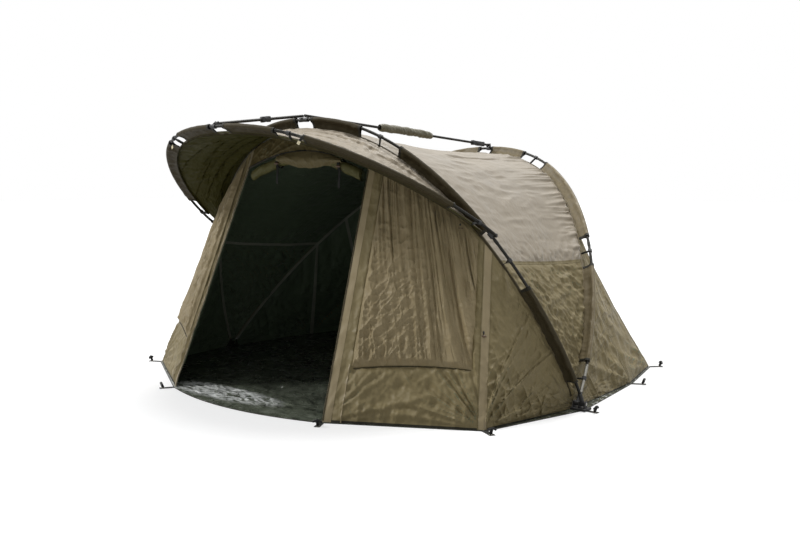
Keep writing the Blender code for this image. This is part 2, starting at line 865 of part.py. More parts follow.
def door_arc(sign):
    """The sheet's front edge, which bows out between the two door feet."""
    half = DOOR_FOOT[0] - TAB_HALF_WIDTH * 2
    return [
        Vector((sign * half * a, DOOR_FOOT[1] - SHEET_MARGIN - DOOR_BOW * (1 - a * a)))
        for a in span(1, -1, 10)
    ]


def rear_arc():
    half = REAR_CORNER[0] - TAB_HALF_WIDTH * 2
    return [
        Vector((half * a, REAR_CORNER[1] + SHEET_MARGIN + REAR_BOW * (1 - a * a)))
        for a in span(-1, 1, 8)
    ]


def peg_mesh():
    """A steel peg with a moulded T head; its origin is where it meets the tab's top."""
    top = PEG_STEM_LENGTH
    profile = [
        (PEG_POINT_RADIUS, -PEG_DEPTH),
        (PEG_SHAFT_RADIUS, PEG_POINT - PEG_DEPTH),
        (PEG_SHAFT_RADIUS, 0),
        (PEG_STEM_RADIUS, 0),
        (PEG_STEM_RADIUS, top),
    ]
    rings = [[Vector((x, y, z)) for x, y in round_section(r, 10)] for r, z in profile]
    peg = place("peg_pattern", loft(rings), PEG_METAL)
    bar_points = [
        Vector((PEG_BAR_HALF_WIDTH * a, 0, top - PEG_BAR_DROP * a * a))
        for a in span(-1, 1, 4)
    ]
    bar = solid_from(tube("peg_bar", bar_points, PEG_BAR_RADIUS, PEG_METAL))
    combine(peg, bar, "UNION")
    bpy.context.view_layer.update()
    graph = bpy.context.evaluated_depsgraph_get()
    data = bpy.data.meshes.new_from_object(peg.evaluated_get(graph))
    for used in (peg, bar):
        bpy.data.objects.remove(used)
    return data


def build_pegs():
    data = peg_mesh()
    lift = SHEET_THICKNESS + GAP + PEG_STEM_RADIUS * math.sin(PEG_TILT)
    for name, (corner, out) in peg_spots().items():
        peg = bpy.data.objects.new("peg_" + name, data)
        PARTS.objects.link(peg)
        flat = corner + out * HOLE_REACH
        peg.location = (flat.x, flat.y, lift)
        heading = math.atan2(out.y, out.x) - math.pi / 2
        peg.rotation_euler = (-PEG_TILT, 0, heading)


def build_pivot_clips():
    """Clips on the centre hoop that carry the pins of the peak hoop's eyes."""
    for side, sign in SIDES.items():
        s = sign * (1 - PEAK_PIVOT_SHARE)
        middle = CENTRE.spot(s)[0]
        half = PIVOT_CLIP_LENGTH / 2 / (CENTRE.half + CENTRE.rise.length)
        solid = sections_on(CENTRE, s - half, s + half, round_section(PIVOT_CLIP_RADIUS, 12))
        clip = place("peak_pivot_clip_" + side, loft(solid), MOULDING)
        start = middle + X_AXIS * sign * POLE_RADIUS
        end = middle + X_AXIS * sign * PEAK_PIN_REACH
        combine(clip, cutter("peak_pin_" + side, cylinder(start, end, PIN_RADIUS)), "UNION")
        through = sections_on(CENTRE, s - 2 * half, s + 2 * half, round_section(SOCKET_BORE, 12))
        combine(clip, cutter("clip_bore_" + side, loft(through)), "DIFFERENCE")


def collar_on(hoop, name, middle_x, half_width):
    """A round clamp on a hoop's pole near its apex."""
    start = apex_place(hoop, middle_x - half_width)
    end = apex_place(hoop, middle_x + half_width)
    return place(
        name,
        loft(
            sections_on(hoop, start, end, round_section(CLIP_RADIUS, 12)),
            sections_on(hoop, start, end, round_section(SOCKET_BORE, 12)),
        ),
        MOULDING,
    )


def apex_place(hoop, across):
    """The place s of a hoop whose chain lies at the given distance across."""
    step = 2 / hoop.steps
    width = hoop.exact(step).x
    return step * across / width


CLIP_TOP = CLIP_RADIUS + BAR_RADIUS + GAP


def build_bracket(name, hoop, offset, lean):
    """A clamp with two ears and a pin for a bar's eye; the ears lean off upright."""
    collar = collar_on(hoop, name, offset, CLAMP_HALF_WIDTH)
    turn = Matrix.Rotation(-lean, 4, "X")
    eye = hoop.exact(0) + X_AXIS * offset + turn @ Z_AXIS * BRACKET_RISE
    ear_place = EYE_LENGTH / 2 + EAR_PLAY + BRACKET_EAR_THICKNESS / 2
    for number in (-1, 1):
        half = Vector((BRACKET_EAR_THICKNESS / 2, BRACKET_EAR_HALF_WIDTH, BRACKET_EAR_HALF_WIDTH))
        low = Vector((-half.x, -half.y, BRACKET_ROOT - BRACKET_RISE))
        ear = box(low, half)
        ear.transform(Matrix.Translation(eye + X_AXIS * number * ear_place) @ turn)
        combine(collar, cutter(f"{name}_ear_{number}", ear), "UNION")
    reach = X_AXIS * (ear_place + BRACKET_EAR_THICKNESS / 2 - GAP)
    pin = cylinder(eye - reach, eye + reach, BAR_PIN_RADIUS, 12)
    combine(collar, cutter(name + "_pin", pin), "UNION")
    return eye


def build_bar(name, eye, rest):
    """A ridge bar from its eye to just past the clip that its free end rests on."""
    along = (rest - eye).normalized()
    start = eye + along * (EYE_RADIUS - POLE_SEAT)
    bar = place(name, cylinder(start, rest + along * BAR_OVERHANG, BAR_RADIUS, 12), POLE_METAL)
    reach = X_AXIS * EYE_LENGTH / 2
    ring = cylinder(eye - reach, eye + reach, EYE_RADIUS)
    combine(bar, cutter(name + "_eye", ring), "UNION")
    over = X_AXIS * (EYE_LENGTH / 2 + OVERRUN)
    bore = cylinder(eye - over, eye + over, BAR_PIN_RADIUS + GAP, 12)
    combine(bar, cutter(name + "_bore", bore), "DIFFERENCE")
    return along


def build_adjuster(name, bar_start, along, at, length):
    """The block that locks a bar's length, bored for the bar."""
    across = X_AXIS
    rise = across.cross(along).normalized()
    turn = Matrix((across, along, rise)).transposed().to_4x4()
    start = bar_start + along * at
    body = box(
        (-ADJUSTER_HALF_WIDTH, 0, -ADJUSTER_HALF_HEIGHT),
        (ADJUSTER_HALF_WIDTH, length, ADJUSTER_HALF_HEIGHT),
    )
    body.transform(Matrix.Translation(start) @ turn)
    block = place(name, body, MOULDING)
    bore = cylinder(
        start - along * OVERRUN, start + along * (length + OVERRUN), BAR_RADIUS + ADJUSTER_PLAY
    )
    combine(block, cutter(name + "_bore", bore), "DIFFERENCE")


def build_wrap(bar_start, along):
    """The loose cloth tube that is gathered round the rear bar."""
    across = X_AXIS
    rise = across.cross(along).normalized()
    rings = []
    bores = []
    for i in range(WRAP_STEPS + 1):
        middle = bar_start + along * (WRAP_PLACE + WRAP_LENGTH * i / WRAP_STEPS)
        swell = WRAP_RADIUS + WRAP_CRUMPLE * math.cos(i * math.pi)
        rings.append([middle + across * a * swell + rise * b * swell for a, b in round_section(1, 10)])
        bores.append([middle + across * a + rise * b for a, b in round_section(WRAP_BORE, 10)])
    place("bar_wrap", loft(rings, bores), WALL_CLOTH)


def build_ridge():
    """The two ridge bars, the brackets they hinge on and the clip they rest on."""
    collar_on(CENTRE, "centre_apex_clip", 0, CLIP_HALF_WIDTH)
    rear_eye = build_bracket("rear_bar_bracket", REAR, BAR_OFFSET, REAR_BRACKET_LEAN)
    front_eye = build_bracket("front_bar_bracket", PEAK, -BAR_OFFSET, FRONT_BRACKET_LEAN)
    rest = CENTRE.exact(0) + Z_AXIS * CLIP_TOP
    rear_along = build_bar("rear_bar", rear_eye, rest + X_AXIS * BAR_OFFSET)
    front_along = build_bar("front_bar", front_eye, rest - X_AXIS * BAR_OFFSET)
    build_adjuster(
        "rear_bar_adjuster", rear_eye, rear_along, REAR_ADJUSTER_PLACE, REAR_ADJUSTER_LENGTH
    )
    build_adjuster(
        "front_bar_adjuster", front_eye, front_along, FRONT_ADJUSTER_PLACE, FRONT_ADJUSTER_LENGTH
    )
    build_wrap(rear_eye, rear_along)


def main():
    build_hoops()
    build_knuckles()
    build_pivots()
    build_sleeves("centre", CENTRE, CENTRE_SLEEVE_SHARES, SLEEVE_CLOTH)
    build_sleeves("rear", REAR, REAR_SLEEVE_SHARES, REAR_SLEEVE_CLOTH)
    build_sleeves("peak", PEAK, PEAK_SLEEVE_SHARES, SLEEVE_CLOTH)
    build_roof_skins()
    build_rear_wall()
    build_front_panels()
    build_door_header()
    build_door_roll()
    build_window_covers()
    build_canopy()
    build_groundsheet()
    build_pegs()
    build_pivot_clips()
    build_ridge()


main()
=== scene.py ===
"""Sewn cover, poles and fittings of a three-hoop bivvy tent, dressed round its CAD frame.

Metres, +Z up, X across the tent, and the doorway faces -Y. Every surface is given by the
same hoops and ground outline as the frame, so that each piece lies where its solid lies.
"""

import math

import bmesh
import bpy
import numpy as np
from bpy.props import FloatProperty, FloatVectorProperty, PointerProperty
from bpy.types import Operator, Panel, PropertyGroup
from mathutils import Matrix, Vector


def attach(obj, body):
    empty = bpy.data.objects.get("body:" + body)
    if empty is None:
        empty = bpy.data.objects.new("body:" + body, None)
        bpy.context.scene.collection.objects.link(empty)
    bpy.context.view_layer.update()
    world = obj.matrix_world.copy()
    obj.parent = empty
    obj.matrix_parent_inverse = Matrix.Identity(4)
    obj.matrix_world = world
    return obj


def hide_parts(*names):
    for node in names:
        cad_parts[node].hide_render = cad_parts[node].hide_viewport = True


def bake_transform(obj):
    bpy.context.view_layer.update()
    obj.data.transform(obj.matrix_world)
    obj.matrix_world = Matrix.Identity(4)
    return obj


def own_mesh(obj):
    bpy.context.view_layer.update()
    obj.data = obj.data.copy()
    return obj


bl_info = {
    "name": "Bivvy tent",
    "version": (1, 0, 0),
    "blender": (4, 5, 0),
    "location": "View3D > Sidebar > Bivvy",
    "description": "Builds the cover, poles and fittings of a three-hoop bivvy tent",
    "category": "Object",
}

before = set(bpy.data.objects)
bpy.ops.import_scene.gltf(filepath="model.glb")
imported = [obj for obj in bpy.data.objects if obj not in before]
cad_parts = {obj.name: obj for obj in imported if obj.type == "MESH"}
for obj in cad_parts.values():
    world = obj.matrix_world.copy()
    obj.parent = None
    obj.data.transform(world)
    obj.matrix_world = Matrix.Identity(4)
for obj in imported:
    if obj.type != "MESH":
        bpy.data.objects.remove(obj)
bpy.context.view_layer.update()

# The frame's own measures, in metres and in shares of a half arch from foot to apex.
GAP = 0.0003
POLE_RADIUS = 0.008
PIVOT_HEIGHT = 0.035
CENTRE_HALF_WIDTH = 1.451
REAR_HALF_WIDTH = 1.4195
PEAK_PIVOT_SHARE = 0.473
PIVOT_EYE_OFFSET = 0.0285
SKIN_DROP = 0.055
PANEL_HALF = 0.0015
INNER_SKIN_EXTRA = 0.0045
HEM_HEIGHT = 0.00414
COVER_FOOT_SHARE = 0.016
FOOT_PATCH_SHARE = 0.034
HEM_DROP = 0.0022
CORNER_SEAM_SHARE = 0.460
DOOR_SEAM_SHARE = 0.809
ROOF_SEAM_SHARE = 0.418
QUARTER_SEAM_SHARE = 0.417
REAR_CORNER_SHARE = 0.520
PEAK_SEAM_SHARE = 0.500
CANOPY_END_SHARE = 0.075
DOOR_TOP_SHARE = 0.905
DOOR_TOP_CROWN = 0.095
DOOR_SIDE_GAP = 0.004
ROOF_SAG = 0.030
CANOPY_SAG = 0.020
REAR_SAG = 0.035
DOOR_FOOT = (0.598, -1.053)
FRONT_CORNER = (1.293, -0.657)
SIDE_FOOT = (1.400, 0.0)
SIDE_TAB = (1.450, 0.0)
REAR_QUARTER = (1.345, 0.737)
REAR_CORNER = (1.206, 1.266)
DOOR_BOW = 0.105
REAR_BOW = 0.055
SHEET_MARGIN = 0.012
TAB_REACH = 0.092
HOLE_REACH = 0.072
HOLE_RADIUS = 0.0080
TAB_HALF_WIDTH = 0.0150

SIDES = {"left": -1, "right": 1}
X = np.array((1.0, 0.0, 0.0))
Y = np.array((0.0, 1.0, 0.0))
Z = np.array((0.0, 0.0, 1.0))
HEART = np.array((0.0, 0.15, 0.55))
UNDER_GROUND = np.array((0.0, 0.0, -9.0))
CLOTH = 0.0012
LAP = 0.0012

# Lengths of the flat cloths, which give their folds an even size over the whole piece.
ROOF_HALF_LENGTH = 2.4
ROOF_DEPTH = 1.75
HALF_ARCH = 2.3
CANOPY_HALF_LENGTH = 1.75
FLAP_WIDTH = 0.74
FLAP_HEIGHT = 0.95
HEADER_HALF_LENGTH = 0.5
HEADER_HEIGHT = 0.2
ROLL_HALF_LENGTH = 0.55
TAPE_LIFT = 0.0014
TAPE_THICKNESS = 0.0012

# Steps of each surface's grid, along its hoop and away from it.
STEPS = {
    "roof": (420, 84),
    "side": (150, 84),
    "rear": (460, 80),
    "front": (320, 170),
    "flap": (300, 200),
    "header": (150, 24),
    "roll": (110, 300),
    "drape": (150, 40),
    "peak": (320, 70),
}


# Arrays of points, and the kinds of folds.


def unit(vectors):
    return vectors / np.linalg.norm(vectors, axis=-1, keepdims=True).clip(1e-12)


def span(first, last, count):
    """Places from first to last in count even steps."""
    return np.linspace(first, last, count + 1)


def both(first, second):
    """Every pairing of two runs of numbers, as two square arrays."""
    return np.meshgrid(first, second, indexing="ij")


def grid_of(name, first, last):
    """Places all over a surface: from first to last along its hoop, from 0 to 1 away."""
    along, away = STEPS[name]
    return both(span(first, last, along), span(0, 1, away))


def swell(across, along, seed, size, stretch=1.0):
    """Low random waves of a hung cloth, about -1 to 1; size is their length in metres."""
    rng = np.random.default_rng(seed)
    total = np.zeros(np.broadcast(across, along).shape)
    for _ in range(16):
        turn, phase = rng.uniform(0, 2 * math.pi, 2)
        reach = size * rng.uniform(0.55, 1.9)
        lean = across * math.cos(turn) + along * math.sin(turn) / stretch
        total += np.sin(2 * math.pi * lean / reach + phase)
    return total / 5.6


def crumple(across, along, seed, size, stretch=1.0):
    """Sharp ridges between flat facets, as packed cloth keeps them; about -1 to 1."""
    first = np.abs(swell(across, along, seed, size, stretch))
    second = np.abs(swell(across, along, seed + 500, size * 0.6, stretch))
    return 0.8 - 1.6 * np.sqrt(first**2 + 0.0025) + 0.4 - 0.9 * np.sqrt(second**2 + 0.004)


def facets(across, along, seed, size, stretch=1.0, sharp=0.20):
    """Crushed cloth: thin straight ridges, about 1, round facets that sink to 0."""
    u, v = np.broadcast_arrays(across / size, along / (size * stretch))
    column, row = np.floor(u), np.floor(v)
    near = np.full(u.shape, 9.0)
    second = near
    for i in (-1, 0, 1):
        for j in (-1, 0, 1):
            a, b = column + i, row + j
            shift_u = np.modf(np.abs(np.sin(a * 127.1 + b * 311.7 + seed)) * 43758.5)[0]
            shift_v = np.modf(np.abs(np.sin(a * 269.5 + b * 183.3 + seed)) * 43758.5)[0]
            far = np.hypot(u - a - shift_u, v - b - shift_v)
            second = np.minimum(second, np.maximum(near, far))
            near = np.minimum(near, far)
    return 0.35 * np.sqrt(near**2 + 0.05) + 0.65 * np.exp(-((second - near) / sharp))


def creases(across, along, seed, count, width, reach, run, fan=0.5):
    """Sharp-backed folds that start on the edge along = 0 and fade away from it."""
    rng = np.random.default_rng(seed)
    total = np.zeros(np.broadcast(across, along).shape)
    away = np.abs(along)
    for place in rng.uniform(run[0], run[1], count):
        lean, wide, size, far = rng.uniform((-1, 0.6, 0.35, 0.4), (1, 1.5, 1, 1.2))
        line = (across - place - lean * fan * width * away / reach) / (width * wide)
        fold = size * np.exp(-np.abs(line) ** 1.6) * np.exp(-((away / (reach * far)) ** 2))
        total = np.maximum(total, fold)
    return total


def rays(across, along, spot, seed, count, arc, reach, width=0.016):
    """Folds that spread from a point where the cloth is pulled; arc is in degrees."""
    rng = np.random.default_rng(seed)
    far = np.hypot(across - spot[0], along - spot[1])
    angle = np.arctan2(along - spot[1], across - spot[0])
    start = (far / 0.12).clip(0, 1)
    total = np.zeros(np.broadcast(across, along).shape)
    for aim in np.radians(rng.uniform(arc[0], arc[1], count)):
        size, end = rng.uniform((0.4, 0.5), (1, 1.2))
        line = (angle - aim) * far / (width * (0.30 + 1.9 * far / reach))
        fold = size * np.exp(-np.abs(line) ** 1.5) * np.exp(-((far / (reach * end)) ** 2))
        total = np.maximum(total, fold)
    return total * start


def pleats(across, along, spot, seed, spacing, reach):
    """Even pleats that spread from a pulled point, about 0 to 1; spacing is in degrees."""
    far = np.hypot(across - spot[0], along - spot[1])
    angle = np.arctan2(along - spot[1], across - spot[0])
    drift = 0.9 * swell(angle, 0.4 * far, seed, 0.55)
    pleat = 1 - np.abs(np.sin(np.degrees(angle) * math.pi / spacing + drift))
    return pleat * (far / 0.15).clip(0, 1) * np.exp(-((far / reach) ** 2))


def piled(across, along, *terms):
    """Folds on top of each other; a term is a depth, a kind of fold and its numbers."""
    return sum(depth * kind(across, along, *numbers) for depth, kind, *numbers in terms)


def near_line(places, line, width):
    """1 on a seam's line, falling to 0 beside it."""
    return np.exp(-(((places - line) / width) ** 2))


# The hoops and the outline on the ground.


class Hoop:
    """A pole arch in a leaning plane. A place on it is s: -1 left foot, 0 apex, 1 right."""

    def __init__(self, half, base, apex, side_power, top_power):
        self.half = half
        self.base = np.array((0.0, *base))
        self.rise = np.array((0.0, *apex)) - self.base
        self.side = 2 / side_power
        self.top = 2 / top_power
        self.up = unit(self.rise)
        self.back = unit(np.cross(self.up, X))

    def at(self, s):
        """The pole's middle line."""
        s = np.asarray(s, float)
        angle = (1 - np.abs(s)) * math.pi / 2
        across = np.sign(s) * self.half * np.cos(angle).clip(0) ** self.side
        lift = np.sin(angle).clip(0) ** self.top
        return self.base + across[..., None] * X + lift[..., None] * self.rise

    def inward(self, s):
        """The direction in the hoop's plane from the pole into the tent."""
        s = np.asarray(s, float)
        run = self.at(np.clip(s + 0.012, -1, 1)) - self.at(np.clip(s - 0.012, -1, 1))
        return unit(np.cross(self.back, run))


CENTRE = Hoop(CENTRE_HALF_WIDTH, (0.0, PIVOT_HEIGHT), (-0.587, 1.525), 2.26, 1.48)
REAR = Hoop(REAR_HALF_WIDTH, (0.0, PIVOT_HEIGHT), (1.163, 1.407), 2.22, 1.48)
PEAK_PIVOT = CENTRE.at(1 - PEAK_PIVOT_SHARE)
PEAK = Hoop(
    PEAK_PIVOT[0] + PIVOT_EYE_OFFSET, tuple(PEAK_PIVOT[1:]), (-1.198, 1.464), 2.37, 1.40
)


def skin_edge(hoop, s, shift, extra=0.0):
    """A point of a cover's edge below a hoop, shifted back or forward off its plane."""
    drop = SKIN_DROP + PANEL_HALF + GAP + np.asarray(extra)
    return hoop.at(s) + hoop.inward(s) * drop[..., None] + hoop.back * shift


def mix(first, second, share):
    """Points on the way from first to second."""
    return first + (second - first) * np.asarray(share)[..., None]


def ground_line(s, shares, corners):
    """Points on the ground under s, on the straight runs between the named corners."""
    share = 1 - np.abs(s)
    x = np.interp(share, shares, [c[0] for c in corners]) * np.sign(s)
    y = np.interp(share, shares, [c[1] for c in corners])
    return np.stack((x, y, np.full_like(x, HEM_HEIGHT)), -1)


def front_hem(s):
    """The foot of the cover's front, from the pivot block round the corner to the doorway."""
    shares = (0, CORNER_SEAM_SHARE, DOOR_SEAM_SHARE)
    return ground_line(s, shares, (SIDE_FOOT, FRONT_CORNER, DOOR_FOOT))


def rear_hem(s):
    """The foot of the rear wall, bowed out between its two corners."""
    shares = (0, QUARTER_SEAM_SHARE, REAR_CORNER_SHARE, 1)
    line = ground_line(s, shares, (SIDE_FOOT, REAR_QUARTER, REAR_CORNER, (0, REAR_CORNER[1])))
    part = ((1 - np.abs(s) - REAR_CORNER_SHARE) / (1 - REAR_CORNER_SHARE)).clip(0)
    line[..., 1] += REAR_BOW * (1 - (1 - part) ** 2)
    return line


# Surfaces of the cover. Each takes two arrays of places and gives points; depth 0 leaves
# the folds out.


def roof_surface(s, t, depth=1.0):
    """Between the centre hoop at t = 0 and the rear hoop at t = 1."""
    inward = unit(CENTRE.inward(s) + REAR.inward(s))
    share = 1 - np.abs(s)
    taper = np.minimum(1, share / ROOF_SEAM_SHARE)
    end = ROOF_DEPTH * taper
    across, along = s * ROOF_HALF_LENGTH, t * ROOF_DEPTH * taper
    held = 4 * t * (1 - t)
    low = ((ROOF_SEAM_SHARE + 0.10 - share) / 0.10).clip(0, 1)
    low_facets = low * np.minimum(1, 5 * held)
    run = (-2.3, 2.3)
    folds = piled(
        across,
        along,
        (0.006, swell, 11, 0.50, 2.4),
        (-0.0035 * (1 - low), crumple, 12, 0.16, 3.5),
        (-0.0070 * low, crumple, 17, 0.16, 1.2),
        (-0.0020 * (1 - low), facets, 20, 0.11, 2.6, 0.5),
        (-0.0110, creases, 13, 60, 0.013, 0.24, run, 2.0),
    )
    lean_across, lean_along = across + 0.6 * along, along - 0.6 * across
    folds = folds - 0.0085 * low_facets * facets(lean_across, lean_along, 18, 0.085, 2.6)
    folds = folds - 0.0070 * low_facets * facets(across - along, along + across, 19, 0.060, 2.2)
    folds = folds - (1 - 0.65 * low) * piled(
        across,
        end - along,
        (0.0170, creases, 14, 66, 0.015, 0.34, run, 2.2),
        (0.0120, creases, 15, 90, 0.008, 0.17, run, 2.0),
    )
    packed_line = near_line(np.abs(s), 0.185 - 0.04 * t, 0.0055)
    packed_line = packed_line * np.exp(-(((t - 0.66) / 0.17) ** 4))
    folds = (folds + 0.018 * packed_line) * np.minimum(1, 12 * held)
    seam = near_line(share, ROOF_SEAM_SHARE, 0.010)
    sag = held * ROOF_SAG * taper + depth * folds * (1 - 0.75 * seam) * np.minimum(1, 8 * taper)
    start = skin_edge(CENTRE, s, LAP)
    return mix(start, skin_edge(REAR, s, -LAP), t) + inward * sag[..., None]


def rear_surface(s, t, depth=1.0):
    """From the rear hoop at t = 0 down to the ground at t = 1."""
    top = skin_edge(REAR, s, LAP)
    hem = rear_hem(s)
    inward = unit(REAR.base - top)
    height = np.linalg.norm(hem - top, axis=-1)
    across, along = s * HALF_ARCH, t * height
    share = 1 - np.abs(s)
    held = 4 * t * (1 - t)
    run = (-2.2, 2.2)
    folds = piled(
        across,
        along,
        (0.007, swell, 21, 0.28, 4.0),
        (-0.0045, crumple, 24, 0.16, 1.6),
        (-0.0140, creases, 22, 80, 0.014, 0.42, run, 2.5),
    )
    folds = folds - 0.0040 * facets(across - 0.3 * along, along, 28, 0.085, 3.2)
    folds = folds - 0.0120 * creases(across, height - along, 23, 70, 0.014, 0.26, run, 2.0)
    seam = 0
    for corner, seed in ((QUARTER_SEAM_SHARE, 25), (REAR_CORNER_SHARE, 27)):
        seam = seam + near_line(share, corner, 0.010)
        for sign in (-1, 1):
            spot = (sign * (1 - corner) * HALF_ARCH, 0.0)
            pulled = rays(across, height - along, spot, seed + sign, 18, (10, 170), 0.55)
            folds = folds - 0.017 * pulled
    folds = folds * np.minimum(1, 6 * held) * (1 - 0.75 * seam.clip(0, 1))
    folds = folds * np.minimum(1, height / 0.35)
    sag = held * REAR_SAG * (1 - np.abs(s)) + depth * folds
    return mix(top, hem, t) + inward * sag[..., None]


def front_base(share, sign, t):
    """The taut front panel: t = 0 at the ground, 1 at the centre hoop."""
    s = sign * (1 - share)
    part = (share - CORNER_SEAM_SHARE) / (PEAK_SEAM_SHARE - CORNER_SEAM_SHARE)
    extra = INNER_SKIN_EXTRA * part.clip(0, 1)
    return mix(front_hem(s), skin_edge(CENTRE, s, -LAP, extra), t)


def front_outward(sign):
    """The direction in which the folds of a front panel stand."""
    places = np.array((CORNER_SEAM_SHARE, DOOR_SEAM_SHARE))
    low = front_base(places, sign, np.zeros(2))
    high = front_base(places, sign, np.ones(2))
    return unit(np.cross(low[1] - low[0], high.mean(0) - low.mean(0)) * -sign)


def foot_patch(sign):
    """A grid of points that closes the cover beside a pivot block, from the ground up."""
    high = span(0, 1, 12)
    place = np.full_like(high, FOOT_PATCH_SHARE)
    front = front_base(place, sign, high)
    rear = rear_surface(sign * (1 - place), 1 - high, 0.0)
    middle = (front + rear) / 2 + X * (sign * 0.006)
    across = span(0, 1, 8)[:, None, None]
    line = front * (1 - across) ** 2 + middle * 2 * across * (1 - across) + rear * across**2
    line[..., 2] -= 0.0020 * (1 - high)
    return line - X * (sign * 0.0022)


# Metres along a front panel's hem: at its foot, at the corner and at the doorway.
HEM_RUN = (0.0, 0.666, 1.466)
FLAP_SHARES = (CORNER_SEAM_SHARE + 0.028, DOOR_SEAM_SHARE - 0.045)
FLAP_LOWS = (0.290, 0.192)
FLAP_HIGH = 0.965
PIPING_SHARE = 0.766


def flap_low(share):
    """Height of the flap's lower edge, which falls from the corner to the doorway."""
    return np.interp(share, FLAP_SHARES, FLAP_LOWS)


def flap_base(part, sign, up):
    """A place on the front panel under a place of its flap."""
    share = FLAP_SHARES[0] + (FLAP_SHARES[1] - FLAP_SHARES[0]) * part
    low = FLAP_LOWS[0] + (FLAP_LOWS[1] - FLAP_LOWS[0]) * part
    return front_base(share, sign, low + (FLAP_HIGH - low) * up)


def front_surface(share, sign, t, depth=1.0):
    """A front panel with its folds, which flatten under the window's cover."""
    top = front_base(share, sign, np.ones_like(t))
    height = np.linalg.norm(top - front_base(share, sign, np.zeros_like(t)), axis=-1)
    across = np.interp(share, (0, CORNER_SEAM_SHARE, DOOR_SEAM_SHARE), HEM_RUN)
    along = t * height
    under_flap = ((share - 0.485) * 70).clip(0, 1) * ((0.768 - share) * 70).clip(0, 1)
    low = flap_low(share)
    under_flap = under_flap * ((t - low + 0.02) * 40).clip(0, 1) * ((0.98 - t) * 40).clip(0, 1)
    seed = 30 + 100 * (sign > 0)
    run = (0.05, 1.45)
    corner, foot = (HEM_RUN[1], 0.0), (HEM_RUN[2], 0.0)
    door = ((share - CORNER_SEAM_SHARE) * 60).clip(0, 1)
    outer = 1 - door
    crushed = 0.35 + 0.65 * ((0.75 - t) / 0.45).clip(0, 1)
    crushed = crushed * (0.75 + 1.35 * outer * ((0.55 - t) / 0.30).clip(0, 1))
    pulled = np.exp(-((np.hypot(across - HEM_RUN[1], along) / 0.50) ** 2))
    crushed = crushed * (1 - 0.65 * door * pulled)
    folds = piled(
        across,
        along,
        (0.007, swell, seed, 0.26, 4.0),
        (0.0050, crumple, seed + 1, 0.14, 1.2),
        (0.010, creases, seed + 2, 30, 0.010, 0.13, run, 2.0),
        (0.022 * door, rays, corner, seed + 4, 9, (3, 84), 1.10, 0.0200),
        (0.014 * door, pleats, corner, seed + 10, 8.0, 0.80),
        (0.036 * outer, rays, corner, seed + 5, 8, (95, 176), 0.85, 0.0125),
        (0.018 * door, rays, foot, seed + 6, 7, (105, 176), 0.70, 0.0120),
    )
    folds = folds + 0.0125 * crushed * facets(across + along, along - across, seed + 7, 0.10, 2.2)
    folds = folds + 0.0095 * crushed * facets(across - 0.4 * along, along, seed + 8, 0.060, 1.8)
    folds = folds + 0.014 * creases(across, height - along, seed + 3, 46, 0.012, 0.26, run, 2.0)
    folds = folds * np.minimum(1, 26 * t) * np.minimum(1, 14 * (1 - t))
    folds = folds * (1 - under_flap) * np.minimum(1, height / 0.30)
    seam = near_line(share, CORNER_SEAM_SHARE, 0.014)
    strip = ((share - PIPING_SHARE) * 90).clip(0, 1)
    folds = folds * (1 - 0.85 * seam) * (1 - 0.7 * strip)
    if sign < 0:
        drawn = creases(across, height - along, seed + 9, 6, 0.0085, 2.6, (1.36, 1.44), 1.0)
        folds = 0.6 * folds - 0.030 * strip * drawn * np.minimum(1, 12 * t * (1 - t))
    rise = depth * folds - 0.004 * under_flap
    return front_base(share, sign, t) + front_outward(sign) * rise[..., None]


def flap_surface(part, sign, up, depth=1.0):
    """The cover over a window, hung in folds that lean and sharpen on the way up."""
    across, along = part * FLAP_WIDTH, up * FLAP_HEIGHT
    from_top, from_far_side = FLAP_HEIGHT - along, (1 - part) * FLAP_WIDTH
    seed = 40 + 100 * (sign > 0)
    slant = across + 0.27 * (1 - up) + 0.012 * swell(across, along, seed, 0.50, 2.0)
    crushed = ((part - 0.30) / 0.30).clip(0, 1) * ((0.80 - up) / 0.35).clip(0, 1)
    drawn = 1 - 0.80 * crushed
    lean = slant / FLAP_WIDTH + 0.06 * np.sin(2 * math.pi * slant / FLAP_WIDTH)
    fade = 0.40 + 0.60 * np.cos(3.4 * math.pi * slant) ** 2
    wave = 1 + fade * np.sin(2 * math.pi * 8.5 * lean)
    sides = np.minimum(part, 1 - part)
    edge = np.minimum(1, 30 * np.minimum(sides, up)) * np.minimum(1, 9 * (1 - up))
    run, edge_run = (0.02, 1.00), (0.0, 0.95)
    valleys = creases(slant, from_top, seed + 3, 26, 0.0080, 1.25, run, 5.0)
    gathers = creases(slant, from_top, seed + 4, 40, 0.0055, 0.50, run, 4.0)
    hems = creases(slant, along, seed + 6, 34, 0.008, 0.20, (0.27, 1.0), 3.0)
    fold = 0.012 * (0.35 * wave + 0.65 * wave**2 / 2) * drawn + 0.010
    fold = fold - 0.0200 * valleys * drawn - 0.0100 * gathers + 0.0120 * hems
    fold = fold + 0.0050 * swell(across, along, seed + 1, 0.12, 4.0)
    fold = fold + 0.0145 * crushed * facets(across + along, along - across, seed + 2, 0.080, 2.4)
    fold = fold + 0.0120 * crushed * facets(along + 0.3 * across, across, seed + 7, 0.052, 2.2)
    fold = fold + 0.0060 * facets(slant, along, seed + 8, 0.050, 4.0)
    rim = np.minimum(1, 16 * np.minimum.reduce((part, 1 - part, up, 1 - up)))
    tight = 1.4 * creases(along, from_far_side, seed + 5, 30, 0.0070, 0.100, edge_run, 2.0)
    tight = tight + creases(along, across, seed + 9, 34, 0.0065, 0.060, edge_run, 2.0)
    if sign < 0:
        drawn = creases(across, from_top, seed + 10, 12, 0.012, 1.9, (0.30, 0.74), 2.0)
        fold = 0.55 * fold + 0.012 - 0.024 * drawn
    rise = 0.0040 + depth * ((fold * edge).clip(-0.002) + 0.0080 * tight * rim)
    return flap_base(part, sign, up) + front_outward(sign) * rise[..., None]


